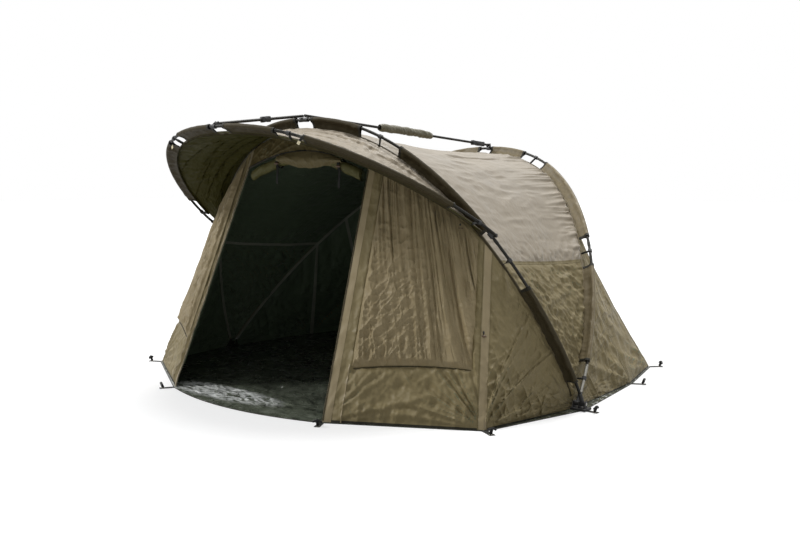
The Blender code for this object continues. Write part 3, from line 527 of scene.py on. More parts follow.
def canopy_surface(s, t, depth=1.0):
    """From the centre hoop at t = 0 to the peak hoop at t = 1."""
    back = skin_edge(CENTRE, s * (1 - PEAK_PIVOT_SHARE), -LAP)
    front = skin_edge(PEAK, s, LAP)
    width = np.linalg.norm(front - back, axis=-1)
    across, along = s * CANOPY_HALF_LENGTH, t * width
    held = 4 * t * (1 - t)
    slack = 0.45 + 0.55 * np.abs(s) ** 1.5
    run = (-1.65, 1.65)
    folds = piled(
        along,
        across,
        (0.017 * slack, swell, 51, 0.12, 9.0),
        (-0.012 * slack, crumple, 52, 0.14, 12.0),
        (-0.0050, facets, 56, 0.065, 5.0),
    )
    folds = folds - 0.0040 * crumple(across, along, 55, 0.12, 1.5)
    folds = folds - 0.006 * creases(across, along, 53, 44, 0.013, 0.14, run)
    folds = folds - 0.006 * creases(across, width - along, 54, 44, 0.013, 0.14, run)
    folds = folds * np.minimum(1, 7 * held) * np.minimum(1, width / 0.40)
    sag = held * CANOPY_SAG + depth * folds
    return mix(back, front, t) + PEAK.inward(s) * sag[..., None]


def door_top(across, inset=DOOR_SIDE_GAP):
    """The doorway's top edge; across runs from -1 to 1."""
    across = np.asarray(across, float)
    corner = front_base(np.array(DOOR_SEAM_SHARE), 1, np.array(DOOR_TOP_SHARE))
    lift = DOOR_TOP_CROWN * (1 - across * across)
    x, y = across * (corner[0] - inset), np.full_like(across, corner[1])
    return np.stack((x, y, corner[2] + lift), -1)


def header_surface(across, t):
    """From the doorway's top edge at t = 0 to the centre hoop at t = 1."""
    high = skin_edge(CENTRE, across * (1 - DOOR_SEAM_SHARE), -LAP, INNER_SKIN_EXTRA)
    across_m, along = across * HEADER_HALF_LENGTH, t * HEADER_HEIGHT
    half_run, corner = (-0.5, 0.5), (-0.40, 0.0)
    folds = 0.006 * swell(across_m, along, 61, 0.20, 1.5)
    folds = folds + 0.008 * facets(across_m + along, along - across_m, 62, 0.070, 2.5)
    gathers = creases(across_m, HEADER_HEIGHT - along, 63, 16, 0.009, 0.20, half_run, 5.0)
    folds = folds - 0.014 * gathers
    folds = folds + 0.014 * rays(across_m, along, corner, 64, 7, (8, 80), 0.60, 0.006)
    folds = (folds + 0.006) * np.minimum(1, 5 * 4 * t * (1 - t))
    return mix(door_top(across, 0.001), high, t) - folds[..., None] * CENTRE.back


# Meshes.


class Sewing:
    """Gathers the shells, tapes and cords of one sewn piece into one closed-skin mesh.

    Each point has its place on the flat cloth in metres, and its share of a blend.
    """

    def __init__(self):
        self.points = []
        self.cloth = []
        self.shares = []
        self.faces = []
        self.slots = []
        self.count = 0

    def add(self, points, cloth, shares, faces, slots):
        self.points.append(np.asarray(points, float).reshape(-1, 3))
        self.cloth.append(np.asarray(cloth, float).reshape(-1, 2))
        self.shares.append(np.asarray(shares, float).ravel())
        self.faces += [[i + self.count for i in face] for face in faces]
        self.slots += list(slots)
        self.count += len(self.points[-1])

    def shell(self, points, shares=None, slots=(0, 1), lift=0.0, thick=CLOTH, inside=HEART):
        """A cloth of even thickness on a grid of points, its outer face away from inside."""
        rows, columns = points.shape[:2]
        normal = unit(np.cross(np.gradient(points, axis=0), np.gradient(points, axis=1)))
        turned = np.sum(normal * (points - inside)) < 0
        if turned:
            normal = -normal
        middle = points + normal * lift
        outer, inner = middle + normal * thick / 2, middle - normal * thick / 2
        step_u = np.linalg.norm(np.diff(points[:, columns // 2], axis=0), axis=1)
        step_v = np.linalg.norm(np.diff(points[rows // 2], axis=0), axis=1)
        flat_u, flat_v = np.append(0, np.cumsum(step_u)), np.append(0, np.cumsum(step_v))
        cloth = np.stack(both(flat_u, flat_v), -1)
        grid = np.arange(rows * columns).reshape(rows, columns)
        quads = np.stack((grid[:-1, :-1], grid[1:, :-1], grid[1:, 1:], grid[:-1, 1:]), -1)
        quads = quads.reshape(-1, 4)
        edge = np.concatenate((grid[:, 0], grid[-1, 1:], grid[-2::-1, -1], grid[0, -2:0:-1]))
        after = np.roll(edge, -1)
        rim = np.stack((after, edge, edge + grid.size, after + grid.size), -1)
        if turned:
            quads, rim = quads[:, ::-1], rim[:, ::-1]
        if shares is None:
            shares = np.zeros((rows, columns))
        faces = np.concatenate((quads, quads[:, ::-1] + grid.size, rim)).tolist()
        slot = [slots[0]] * len(quads) + [slots[1]] * len(quads) + [slots[0]] * len(rim)
        both_sides = np.stack((outer, inner)).reshape(-1, 3)
        self.add(both_sides, np.stack((cloth, cloth)), np.stack((shares, shares)), faces, slot)

    def rings(self, rings, slot=0, closed=True):
        """A skin over rings of points in order, with its two ends closed."""
        count, sides = rings.shape[:2]
        middle = rings.mean(1)
        steps = np.linalg.norm(np.diff(middle, axis=0), axis=1)
        length = np.append(0, np.cumsum(steps))
        girth = np.linalg.norm(rings[0] - np.roll(rings[0], 1, 0), axis=1).sum()
        cloth = np.stack(both(length, span(0, girth, sides)[:-1]), -1).reshape(-1, 2)
        grid = np.arange(count * sides).reshape(count, sides)
        turn = np.roll(grid, -1, 1)
        quads = np.stack((grid[:-1], turn[:-1], turn[1:], grid[1:]), -1).reshape(-1, 4)
        faces = quads.tolist()
        if closed:
            faces += [grid[0][::-1].tolist(), grid[-1].tolist()]
        self.add(rings, cloth, np.zeros(count * sides), faces, [slot] * len(faces))

    def cord(self, path, radius, slot=0, sides=8):
        """A round cord along a path of points."""
        path = np.asarray(path, float)
        radii = np.broadcast_to(radius, len(path))
        side, up = path_frames(path)
        turn = span(0, 2 * math.pi, sides)[:-1]
        ring = side[:, None] * np.cos(turn)[:, None] + up[:, None] * np.sin(turn)[:, None]
        self.rings(path[:, None] + ring * radii[:, None, None], slot)

    def strap(self, path, facing, width, slot=0, thick=0.0016):
        """A flat webbing along a path; facing is the direction its face looks in."""
        path = np.asarray(path, float)
        run = unit(np.gradient(path, axis=0))
        face = unit(np.broadcast_to(facing, path.shape))
        side = unit(np.cross(run, face))
        points = path[:, None] + side[:, None] * (span(-0.5, 0.5, 4) * width)[:, None]
        inside = path.mean(0) - unit(face.mean(0)) * 5
        self.shell(points, None, (slot, slot), 0.0, thick, inside)

    def make(self, name, finishes):
        """The gathered parts as one piece; a part's slot counts in the list of finishes."""
        data = bpy.data.meshes.new(name)
        points = np.concatenate(self.points)
        data.from_pydata(points.tolist(), [], self.faces)
        layer = data.uv_layers.new(name="cloth")
        corners = np.zeros(len(data.loops), int)
        data.loops.foreach_get("vertex_index", corners)
        layer.data.foreach_set("uv", np.concatenate(self.cloth)[corners].ravel())
        data.polygons.foreach_set("material_index", self.slots)
        data.polygons.foreach_set("use_smooth", [True] * len(data.polygons))
        for finish in finishes:
            data.materials.append(finish_of(finish))
        data.update()
        data.set_sharp_from_angle(angle=math.radians(62))
        piece = bpy.data.objects.new(name, data)
        bpy.context.scene.collection.objects.link(piece)
        return piece

    def blended(self, piece):
        """Bakes the piece's transform into its mesh; each point's eased share of the way from one
        body to the other is worked out but not kept.
        """
        shares = np.concatenate(self.shares).clip(0, 1)
        eased = 0.5 - np.sin(np.arcsin(1 - 2 * shares) / 3)
        kept = np.concatenate(self.points).astype(np.float32)
        line = np.zeros_like(kept)
        line[:, 0] = eased
        piece.data.vertices.foreach_set("co", line.ravel())
        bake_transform(piece)
        piece.data.vertices.foreach_set("co", kept.ravel())
        piece.data.update()


def path_frames(path):
    """Two directions square to a path at each of its points, without sudden turns."""
    run = unit(np.gradient(path, axis=0))
    seed = Z if abs(run[0][2]) < 0.9 else X
    side = [unit(np.cross(run[0], seed))]
    for ahead in run[1:]:
        kept = side[-1] - ahead * np.dot(side[-1], ahead)
        side.append(unit(kept))
    side = np.array(side)
    return side, np.cross(run, side)


# Finishes.


def tone(code):
    """A swatch card's colour as the linear numbers that a shader takes."""
    parts = [int(code[i : i + 2], 16) / 255 for i in (1, 3, 5)]
    return tuple(p / 12.92 if p < 0.04045 else ((p + 0.055) / 1.055) ** 2.4 for p in parts)


class Finish:
    """A material whose colour, gloss and relief come from nodes."""

    def __init__(self, name, roughness, metallic=0.0, specular=0.5, sheen=0.0, coat=0.0):
        self.material = bpy.data.materials.new(name)
        self.material.use_nodes = True
        self.nodes = self.material.node_tree.nodes
        self.links = self.material.node_tree.links
        self.shader = self.nodes["Principled BSDF"]
        sockets = self.shader.inputs
        sockets["Roughness"].default_value = roughness
        sockets["Metallic"].default_value = metallic
        sockets["Specular IOR Level"].default_value = specular
        sockets["Sheen Weight"].default_value = sheen
        sockets["Coat Weight"].default_value = coat
        self.coords = self.nodes.new("ShaderNodeTexCoord")
        self.relief_top = None

    def node(self, kind, **values):
        """A new node, with the values of its sockets; an underscore stands for a space."""
        made = self.nodes.new("ShaderNode" + kind)
        for name, value in values.items():
            made.inputs[name.replace("_", " ")].default_value = value
        return made

    def stretched(self, space, stretch):
        mapping = self.node("Mapping", Scale=stretch)
        self.links.new(self.coords.outputs[space], mapping.inputs["Vector"])
        return mapping.outputs["Vector"]

    def noise(self, space, scale, stretch=(1, 1, 1), detail=4.0, distortion=0.0, ridged=False):
        made = self.node("TexNoise", Scale=scale, Detail=detail, Distortion=distortion)
        if ridged:
            made.noise_type = "RIDGED_MULTIFRACTAL"
        self.links.new(self.stretched(space, stretch), made.inputs["Vector"])
        return made.outputs["Fac"]

    def cells(self, space, scale, stretch=(1, 1, 1)):
        """Facets with ridges between them."""
        made = self.node("TexVoronoi", Scale=scale)
        self.links.new(self.stretched(space, stretch), made.inputs["Vector"])
        return made.outputs["Distance"]

    def times(self, first, second):
        made = self.node("Math")
        made.operation = "MULTIPLY"
        self.links.new(first, made.inputs[0])
        self.links.new(second, made.inputs[1])
        return made.outputs[0]

    def spot(self, place, reach):
        """1 at a place of the object, falling to 0 at reach from it; both are x, y, z."""
        made = self.node("TexGradient")
        made.gradient_type = "SPHERICAL"
        scale = [1 / r for r in reach]
        vector = self.stretched("Object", scale)
        vector.node.inputs["Location"].default_value = [-p * k for p, k in zip(place, scale)]
        self.links.new(vector, made.inputs["Vector"])
        return made.outputs["Fac"]

    def wave(self, space, scale, direction):
        made = self.node("TexWave", Scale=scale)
        made.bands_direction = direction
        self.links.new(self.coords.outputs[space], made.inputs["Vector"])
        return made.outputs["Fac"]

    def ranged(self, source, low, high, to_low=0.0, to_high=1.0):
        made = self.node("MapRange", From_Min=low, From_Max=high, To_Min=to_low, To_Max=to_high)
        self.links.new(source, made.inputs["Value"])
        return made.outputs["Result"]

    def between(self, share, first, second):
        made = self.node("Mix")
        made.data_type = "RGBA"
        for socket, value in ((6, first), (7, second)):
            if isinstance(value, tuple):
                made.inputs[socket].default_value = (*value, 1.0)
            else:
                self.links.new(value, made.inputs[socket])
        self.links.new(share, made.inputs[0])
        return made.outputs[2]

    def coloured(self, source):
        self.links.new(source, self.shader.inputs["Base Color"])

    def glossed(self, source, low, high):
        self.links.new(self.ranged(source, 0.3, 0.7, low, high), self.shader.inputs["Roughness"])

    def relief(self, source, distance, strength=1.0):
        made = self.node("Bump", Distance=distance, Strength=strength)
        self.links.new(source, made.inputs["Height"])
        if self.relief_top is not None:
            self.links.new(self.relief_top, made.inputs["Normal"])
        self.relief_top = made.outputs["Normal"]
        self.links.new(self.relief_top, self.shader.inputs["Normal"])


def scaled(colour, share):
    """A colour made stronger or weaker."""
    return tuple(min(1.0, c * share) for c in colour)


def cloth_finish(name, colour, gloss, crumpled, sheen=0.12, specular=0.5):
    """Coated polyester: a fine weave, soft crumples and slightly uneven dye."""
    made = Finish(name, gloss, specular=specular, sheen=sheen)
    broad = made.ranged(made.noise("UV", 1.4, (1, 1, 1), 3.0, 0.4), 0.3, 0.7)
    fine = made.ranged(made.noise("UV", 22.0, (1, 0.5, 1), 5.0), 0.3, 0.7)
    body = made.between(broad, scaled(colour, 0.84), scaled(colour, 1.16))
    made.coloured(made.between(fine, body, scaled(colour, 1.04)))
    made.glossed(made.noise("UV", 5.0, (1, 1, 1), 4.0), gloss - 0.07, gloss + 0.10)
    patch = made.ranged(made.noise("UV", 2.6, (1, 1, 1), 2.0, 0.3), 0.35, 0.62, 0.25, 1.0)
    made.relief(made.noise("UV", 5.5, (1, 0.7, 1), 3.0, 0.9, True), crumpled * 1.8, 0.8)
    made.relief(made.times(patch, made.cells("UV", 15.0, (1, 0.6, 1))), crumpled * 3.2, 0.9)
    made.relief(made.times(patch, made.cells("UV", 34.0, (0.7, 1, 1))), crumpled * 1.2, 0.9)
    made.relief(made.noise("UV", 60.0, (1, 0.4, 1), 4.0, 0.5), crumpled * 0.25, 0.6)
    made.relief(made.wave("UV", 210.0, "X"), 0.00012, 0.35)
    made.relief(made.wave("UV", 210.0, "Y"), 0.00012, 0.35)
    return made.material


def stitched_finish(name, colour, thread, gloss=0.6, rib=130.0):
    """A sewn tape: ribbed across, with two rows of stitches along it."""
    made = Finish(name, gloss, specular=0.2, sheen=0.05)
    broad = made.ranged(made.noise("UV", 6.0, (1, 1, 1), 4.0), 0.3, 0.7)
    body = made.between(broad, scaled(colour, 0.82), scaled(colour, 1.15))
    dash = made.ranged(made.wave("UV", 62.0, "X"), 0.45, 0.6)
    row = made.ranged(made.wave("UV", 31.0, "Y"), 0.90, 0.97)
    stitch = made.times(dash, row)
    made.coloured(made.between(stitch, body, thread))
    made.glossed(made.noise("UV", 30.0, (1, 1, 1), 3.0), gloss - 0.06, gloss + 0.08)
    made.relief(made.wave("UV", rib, "X"), 0.0002, 0.5)
    made.relief(stitch, 0.0006, 0.6)
    return made.material


def zip_finish(name, colour, teeth):
    """Zip tape with a coil of teeth along its middle."""
    made = Finish(name, 0.6, specular=0.2)
    fine = made.ranged(made.noise("UV", 60.0, (1, 1, 1), 3.0), 0.3, 0.7)
    tooth = made.ranged(made.wave("UV", 105.0, "X"), 0.4, 0.6)
    body = made.between(fine, scaled(colour, 0.8), scaled(colour, 1.2))
    made.coloured(made.between(tooth, body, teeth))
    made.relief(tooth, 0.0009, 0.9)
    return made.material


def vinyl_finish(name, colour):
    """Heavy PVC sheet: slick and crinkled, with a painted reflection along the doorway and
    painted highlights on its creases.
    """
    made = Finish(name, 0.28, specular=0.7, coat=0.3)
    dust = made.ranged(made.noise("Object", 3.0, (1, 1, 1), 8.0, 0.5), 0.42, 0.75)
    body = made.between(dust, colour, scaled(colour, 1.9))
    # Painted reflection: the strip along the doorway is paler, where the slick sheet would mirror
    # the bright sky.
    apron = made.ranged(made.spot((-0.10, -1.10, 0.0), (0.95, 0.34, 1.0)), 0.0, 0.45)
    body = made.between(apron, body, scaled(colour, 2.0))
    # Painted highlights: pale lines on the crinkles in a patch inside the doorway stand in for
    # glints off the sheet.
    highlight_spot = made.ranged(made.spot((-0.27, -0.97, 0.0), (0.52, 0.13, 1.0)), 0.0, 0.30)
    crease = made.noise("Object", 8.0, (1, 2.6, 1), 6.0, 1.6)
    rising = made.ranged(crease, 0.38, 0.46)
    falling = made.ranged(crease, 0.53, 0.63, 1.0, 0.0)
    crease = made.times(highlight_spot, made.times(rising, falling))
    made.coloured(made.between(crease, body, tone("#e4e6e3")))
    made.glossed(made.noise("Object", 8.0, (1, 1, 1), 6.0, 0.3), 0.14, 0.36)
    made.relief(made.noise("Object", 6.0, (1, 1, 0), 3.0, 1.2, True), 0.030, 1.0)
    made.relief(made.cells("Object", 16.0, (1, 1, 0)), 0.014, 1.0)
    made.relief(made.noise("Object", 22.0, (1, 1, 0), 5.0, 1.4), 0.011, 1.0)
    made.relief(made.noise("Object", 70.0, (1, 1, 0), 5.0, 0.6), 0.0015, 0.6)
    return made.material


def metal_finish(name, colour, gloss, metallic, wear):
    """Coated or bare metal with fine scratches and worn, lighter patches."""
    made = Finish(name, gloss, metallic=metallic)
    patch = made.ranged(made.noise("Object", 34.0, (1, 1, 1), 8.0, 0.5), 0.62, 0.78)
    scratch = made.ranged(made.noise("Object", 260.0, (1, 1, 1), 4.0), 0.35, 0.7)
    body = made.between(scratch, scaled(colour, 0.8), scaled(colour, 1.25))
    made.coloured(made.between(patch, body, wear))
    made.glossed(made.noise("Object", 60.0, (1, 1, 1), 5.0), gloss - 0.08, gloss + 0.12)
    made.relief(made.noise("Object", 300.0, (1, 1, 1), 3.0), 0.0002, 0.3)
    return made.material


def moulding_finish(name, colour, gloss=0.5):
    """Moulded nylon with a fine spark-eroded grain."""
    made = Finish(name, gloss)
    broad = made.ranged(made.noise("Object", 25.0, (1, 1, 1), 4.0), 0.3, 0.7)
    made.coloured(made.between(broad, scaled(colour, 0.75), scaled(colour, 1.35)))
    made.glossed(made.noise("Object", 90.0, (1, 1, 1), 3.0), gloss - 0.08, gloss + 0.08)
    made.relief(made.noise("Object", 1400.0, (1, 1, 1), 2.0), 0.00012, 0.6)
    made.relief(made.noise("Object", 120.0, (1, 1, 1), 4.0), 0.0004, 0.25)
    return made.material


# Finishes: the maker, a swatch or a colour code, its strength, and the maker's other values.
FINISHES = {
    # The roof takes the roof swatch, a lighter copy of the wall cloth: painted light and sheen
    # from the sky on the tent's top.
    "roof_cloth": (cloth_finish, "roof", 1, 0.45, 0.0016, 0.15, 0.45),
    "wall_cloth": (cloth_finish, "wall", 1, 0.56, 0.0062, 0.05, 0.3),
    "flap_cloth": (cloth_finish, "flap", 1, 0.56, 0.0054, 0.05, 0.3),
    "panel_edge_cloth": (cloth_finish, "flap", 1.05, 0.5, 0.0012),
    # The peak's outside takes the lightened roof swatch: painted light on a face that turns from
    # the lamps.
    "peak_cloth": (cloth_finish, "roof", 1, 0.50, 0.0014, 0.10, 0.35),
    # A dark lining colour, darkened further as painted shade under the peak.
    "peak_lining": (cloth_finish, "peak_lining", 1, 0.62, 0.0026, 0.0, 0.12),
    "lining": (cloth_finish, "lining", 1, 0.62, 0.0040, 0.05, 0.35),
    "sleeve_cloth": (cloth_finish, "sleeve", 1, 0.58, 0.0020, 0.0, 0.15),
    "rear_sleeve_cloth": (cloth_finish, "rear_sleeve", 1, 0.52, 0.0020, 0.05, 0.3),
    "door_cloth": (cloth_finish, "door", 1, 0.55, 0.0040, 0.0, 0.2),
    # Darker than the wall cloth: painted shade under the peak.
    "header_cloth": (cloth_finish, "header", 1, 0.55, 0.0016, 0.0, 0.15),
    "drape_cloth": (cloth_finish, "drape", 1, 0.55, 0.0020, 0.0, 0.2),
    "wrap_cloth": (cloth_finish, "wrap", 1, 0.5, 0.0045),
    "binding": (stitched_finish, "#24221a", 1, "#4a4636"),
    "seam_band": (stitched_finish, "wall", 0.86, "#8d8566"),
    "inner_tape": (stitched_finish, "#85877a", 1, "#9a9c8e"),
    "webbing": (stitched_finish, "#1c1c18", 1, "#3a3a34", 0.65, 190.0),
    "zip_tape": (zip_finish, "#4a432d", 1, "#2a261a"),
    "cream_tip": (stitched_finish, "#d9cfae", 1, "#b5a988"),
    "groundsheet_vinyl": (vinyl_finish, "groundsheet", 1),
    "pole_metal": (metal_finish, "#2a2926", 1, 0.36, 0.85, "#56544e"),
    "bare_pole": (metal_finish, "#8f8d86", 1, 0.36, 0.9, "#b5b3aa"),
    "pin_steel": (metal_finish, "#b8b6b0", 1, 0.28, 1.0, "#8c8a84"),
    "peg_metal": (metal_finish, "#1d1d1c", 1, 0.42, 0.6, "#5a5752"),
    "moulding": (moulding_finish, "#1e1e1d", 1),
    "toggle": (moulding_finish, "#4f3a26", 1, 0.45),
    "eyelet": (metal_finish, "#8a8474", 1, 0.34, 1.0, "#55514a"),
}


def finish_of(name):
    """The named finish, made when a piece first asks for it, and shared from then on."""
    full_name = "Bivvy " + name
    known = bpy.data.materials.get(full_name)
    if known is not None:
        return known
    maker, colour, strength, *values = FINISHES[name]
    if colour.startswith("#"):
        body = tone(colour)
    else:
        body = tuple(getattr(bpy.context.scene.bivvy_cloth, colour))
    values = [tone(value) if isinstance(value, str) else value for value in values]
    return maker(full_name, scaled(body, strength), *values)


# Swatches: name, title and default of each colour that a user would change.
CARD = {
    # A lighter, greyer copy of the wall cloth: painted light and painted sheen from the sky on
    # the roof.
    "roof": ("Roof cloth", "#8a7f6d"),
    "wall": ("Wall cloth", "#776b4a"),
    "flap": ("Window covers and door edges", "#87795a"),
    # Dark lining, made darker still: painted shade under the peak.
    "peak_lining": ("Underside of the peak", "#3a3817"),
    "lining": ("Inside of the cover", "#55624d"),
    "sleeve": ("Centre and peak sleeves", "#3c3524"),
    "rear_sleeve": ("Rear sleeves", "#6d6146"),
    "door": ("Rolled door", "#524f2c"),
    # Darker than the wall cloth: painted shade under the peak.
    "header": ("Strip over the door", "#564c2f"),
    "drape": ("Drape over the door", "#665c3e"),
    "wrap": ("Wrap of the ridge bar", "#5f5a44"),
    "groundsheet": ("Groundsheet", "#464a40"),
}


# Colours and sizes that a user would change.


class BivvyCloth(PropertyGroup):
    """Colours of the cloths."""

    __annotations__ = {
        key: FloatVectorProperty(
            name=title,
            description=f"Colour of this cloth: {title.lower()}",
            subtype="COLOR",
            default=tone(code),
            min=0.0,
            max=1.0,
        )
        for key, (title, code) in CARD.items()
    }


class BivvySizes(PropertyGroup):
    """Sizes of the sewn details."""

    fold_depth: FloatProperty(
        name="Fold depth", description="Share of the drawn depth of the folds", default=1.0
    )
    hem_width: FloatProperty(
        name="Hem width",
        description="Width of the dark binding along the ground",
        default=0.009,
        unit="LENGTH",
    )
    seam_width: FloatProperty(
        name="Seam width",
        description="Width of the taped seams of the cover",
        default=0.020,
        unit="LENGTH",
    )
    webbing_width: FloatProperty(
        name="Webbing width", description="Width of the straps", default=0.018, unit="LENGTH"
    )


class BivvyStage(PropertyGroup):
    """Light and ground of the studio."""

    sky: FloatProperty(
        name="Sky", description="Strength of the even light from all sides", default=0.42
    )
    sun: FloatProperty(name="Lamps", description="Strength of the two soft lamps", default=3.0)
    floor: FloatVectorProperty(
        name="Floor",
        description="Colour of the floor",
        subtype="COLOR",
        default=(0.50, 0.50, 0.50),
        min=0.0,
        max=1.0,
    )


# Riding, tapes and hems.


def flattened(piece):
    """Rides a piece of the door side on the centre hoop."""
    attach(piece, "centre_hoop")
    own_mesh(piece)


def rising(_, t):
    """The share of a blend for a surface that starts on its first body."""
    return t


def falling(_, t):
    """The share of a blend for a surface that starts on its second body."""
    return 1 - t


def band(sewing, surface, first, second, share, slot, lift=TAPE_THICKNESS):
    """A tape sewn over a surface, on the runs of places first and second."""
    one, two = both(first, second)
    shares = None if share is None else share(one, two)
    sewing.shell(surface(one, two), shares, (slot, slot), lift, TAPE_THICKNESS)


def taped(sewing, surface, places, run, share):
    """The two tapes of a seam: the band outside, and a paler tape inside."""
    for lift, slot in ((TAPE_LIFT, 2), (-TAPE_LIFT, 3)):
        band(sewing, surface, places, run, share, slot, lift)


def hem_band(sewing, surface, places, first, last, share=None):
    """The dark binding along the ground; it hangs HEM_DROP below the cover's own edge."""
    one, two = both(places, span(first, last, 3))
    points = surface(one, two)
    low = two == (0.0 if first == 0 else 1.0)
    points[..., 2] -= np.where(low, HEM_DROP, 0.0)
    shares = None if share is None else share(one, two)
    sewing.shell(points, shares, (4, 4), 0.0010, TAPE_THICKNESS)


# Poles, fittings and sleeves.

HOOPS = {"centre": CENTRE, "rear": REAR, "peak": PEAK}
POLE_FOOT_SHARE = 0.030
POLE_JOINT = (0.452, 0.462)
BARE_LEG_HEIGHT = 0.21


class BIVVY_OT_poles(Operator):
    """The three bent poles, smooth, with the bare lower legs of the rear hoop"""

    bl_idname = "bivvy.poles"
    bl_label = "Poles"

    def execute(self, context):
        end = 1 - POLE_FOOT_SHARE
        for name in ("centre", "rear"):
            hoop = HOOPS[name]
            made = Sewing()
            made.cord(hoop.at(span(-end, end, 300)), POLE_RADIUS, sides=20)
            for sign in (-1, 1):
                joint = hoop.at(sign * (1 - span(*POLE_JOINT, 4)))
                made.cord(joint, POLE_RADIUS + 0.0012, sides=20)
            piece = made.make(name + "_pole", ["pole_metal", "bare_pole"])
            if name == "rear":
                for face in piece.data.polygons:
                    if face.center.z < BARE_LEG_HEIGHT:
                        face.material_index = 1
            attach(piece, name + "_hoop")
            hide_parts(name + "_hoop")
        made = Sewing()
        made.cord(PEAK.at(span(-0.994, 0.994, 240)), POLE_RADIUS, sides=20)
        for sign in (-1, 1):
            made.rings(eye_rings(PEAK.at(float(sign)), X * sign), closed=False)
        piece = made.make("peak_pole", ["pole_metal"])
        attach(piece, "peak_hoop")
        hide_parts("peak_hoop")
        return {"FINISHED"}


def eye_rings(middle, axis, outer=0.0105, inner=0.0046, half=0.006):
    """A bored eye: its profile turned round an axis, in a closed loop of rings."""
    profile = (
        (inner, -half),
        (outer - 0.001, -half),
        (outer, -half + 0.001),
        (outer, half - 0.001),
        (outer - 0.001, half),
        (inner, half),
        (inner, -half),
    )
    side = unit(np.cross(axis, Z))
    up = np.cross(axis, side)
    turn = span(0, 2 * math.pi, 28)[:-1]
    round_it = side * np.cos(turn)[:, None] + up * np.sin(turn)[:, None]
    return np.array([middle + round_it * r + axis * h for r, h in profile])


class BIVVY_OT_fittings(Operator):
    """Finishes of the fittings that keep their CAD shape"""

    bl_idname = "bivvy.fittings"
    bl_label = "Fittings"

    def execute(self, context):
        finishes = {
            "knuckle": "moulding",
            "pivot_block": "moulding",
            "pivot_pin": "pin_steel",
            "clip": "moulding",
            "bracket": "moulding",
            "peg_": "peg_metal",
            "rear_bar": "pole_metal",
            "front_bar": "pole_metal",
        }
        for name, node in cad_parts.items():
            for word, finish in finishes.items():
                if word in name:
                    node.data.materials.clear()
                    node.data.materials.append(finish_of(finish))
                    break
        return {"FINISHED"}


def sleeve_section(grow=0.0):
    """Half-open section of a sleeve: depth below the pole and distance off its plane."""
    turn = np.radians(span(-128, 128, 16))
    radius = 0.0124 + grow
    fin = ((0.0572, 0.0016), (0.046, 0.0017), (0.034, 0.0019), (0.022, 0.0028))
    down = [depth for depth, _ in fin] + list(-radius * np.cos(turn))
    down += [depth for depth, _ in fin[::-1]]
    aside = [-half - grow for _, half in fin] + list(radius * np.sin(turn))
    aside += [half + grow for _, half in fin[::-1]]
    return np.array(down), np.array(aside)


def sleeve_skin(hoop, places, seed, grow=0.0):
    """The sleeve's cloth over the places along a hoop, with its small puckers."""
    down, aside = sleeve_section(grow)
    s, down = both(places, down)
    _, aside = both(places, aside)
    loose = np.sin(math.pi * ((down + 0.012) / 0.070).clip(0, 1)) ** 1.2
    reach = s * HALF_ARCH
    bend = swell(reach, down, seed, 0.085) + 0.5 * crumple(reach, down, seed + 1, 0.05)
    swollen = 1 + 0.07 * swell(reach, down * 3, seed + 2, 0.045) * (down < 0.012)
    aside = aside * swollen + 0.0036 * bend * loose
    lift = hoop.at(s) + down[..., None] * hoop.inward(s)
    return lift + aside[..., None] * hoop.back


SLEEVES = {
    "centre": {"lower": (0.100, 0.348), "shoulder": (0.485, 0.735), "upper": (0.845, 0.982)},
    "rear": {"lower": (0.150, 0.400), "shoulder": (0.480, 0.775), "upper": (0.868, 0.985)},
    "peak": {"side": (0.270, 0.735), "upper": (0.822, 0.982)},
}
SLEEVE_TRIM = 0.0055


class BIVVY_OT_sleeves(Operator):
    """Pole sleeves: a wrinkled tube and fin each, with bound ends"""

    bl_idname = "bivvy.sleeves"
    bl_label = "Pole sleeves"

    def execute(self, context):
        for hoop_name, runs in SLEEVES.items():
            for number, (place, (low, high)) in enumerate(runs.items()):
                for side, sign in SIDES.items():
                    ends = sorted((sign * (1 - low), sign * (1 - high)))
                    seed = 100 + 10 * number + (0 if side == "left" else 5)
                    self.sleeve(hoop_name, f"{hoop_name}_sleeve_{place}_{side}", ends, seed)
        return {"FINISHED"}

    def sleeve(self, hoop_name, name, ends, seed):
        hoop = HOOPS[hoop_name]
        cloth = "rear_sleeve_cloth" if hoop_name == "rear" else "sleeve_cloth"
        start, end = ends
        made = Sewing()
        steps = max(24, int((end - start) * 300))
        runs = (
            (span(start, end, steps), 0, 0.0),
            (span(start - 0.0006, start + SLEEVE_TRIM, 5), 1, 0.0008),
            (span(end - SLEEVE_TRIM, end + 0.0006, 5), 1, 0.0008),
        )
        for places, slot, grow in runs:
            skin = sleeve_skin(hoop, places, seed, grow)
            core = (hoop.at(places) + hoop.inward(places) * 0.003)[:, None]
            made.shell(skin, None, (slot, slot), 0.0, 0.0008, core)
        piece = made.make("cloth_" + name, [cloth, "binding"])
        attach(piece, hoop_name + "_hoop")
        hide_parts(name)
        path = hoop.at(span(start, end, 60))
        down, aside = sleeve_section()


CLIP_PLACES = {
    "centre": (0.412, 0.790),
    "rear": (0.100, 0.438, 0.822),
    "peak": (0.150, 0.779),
}


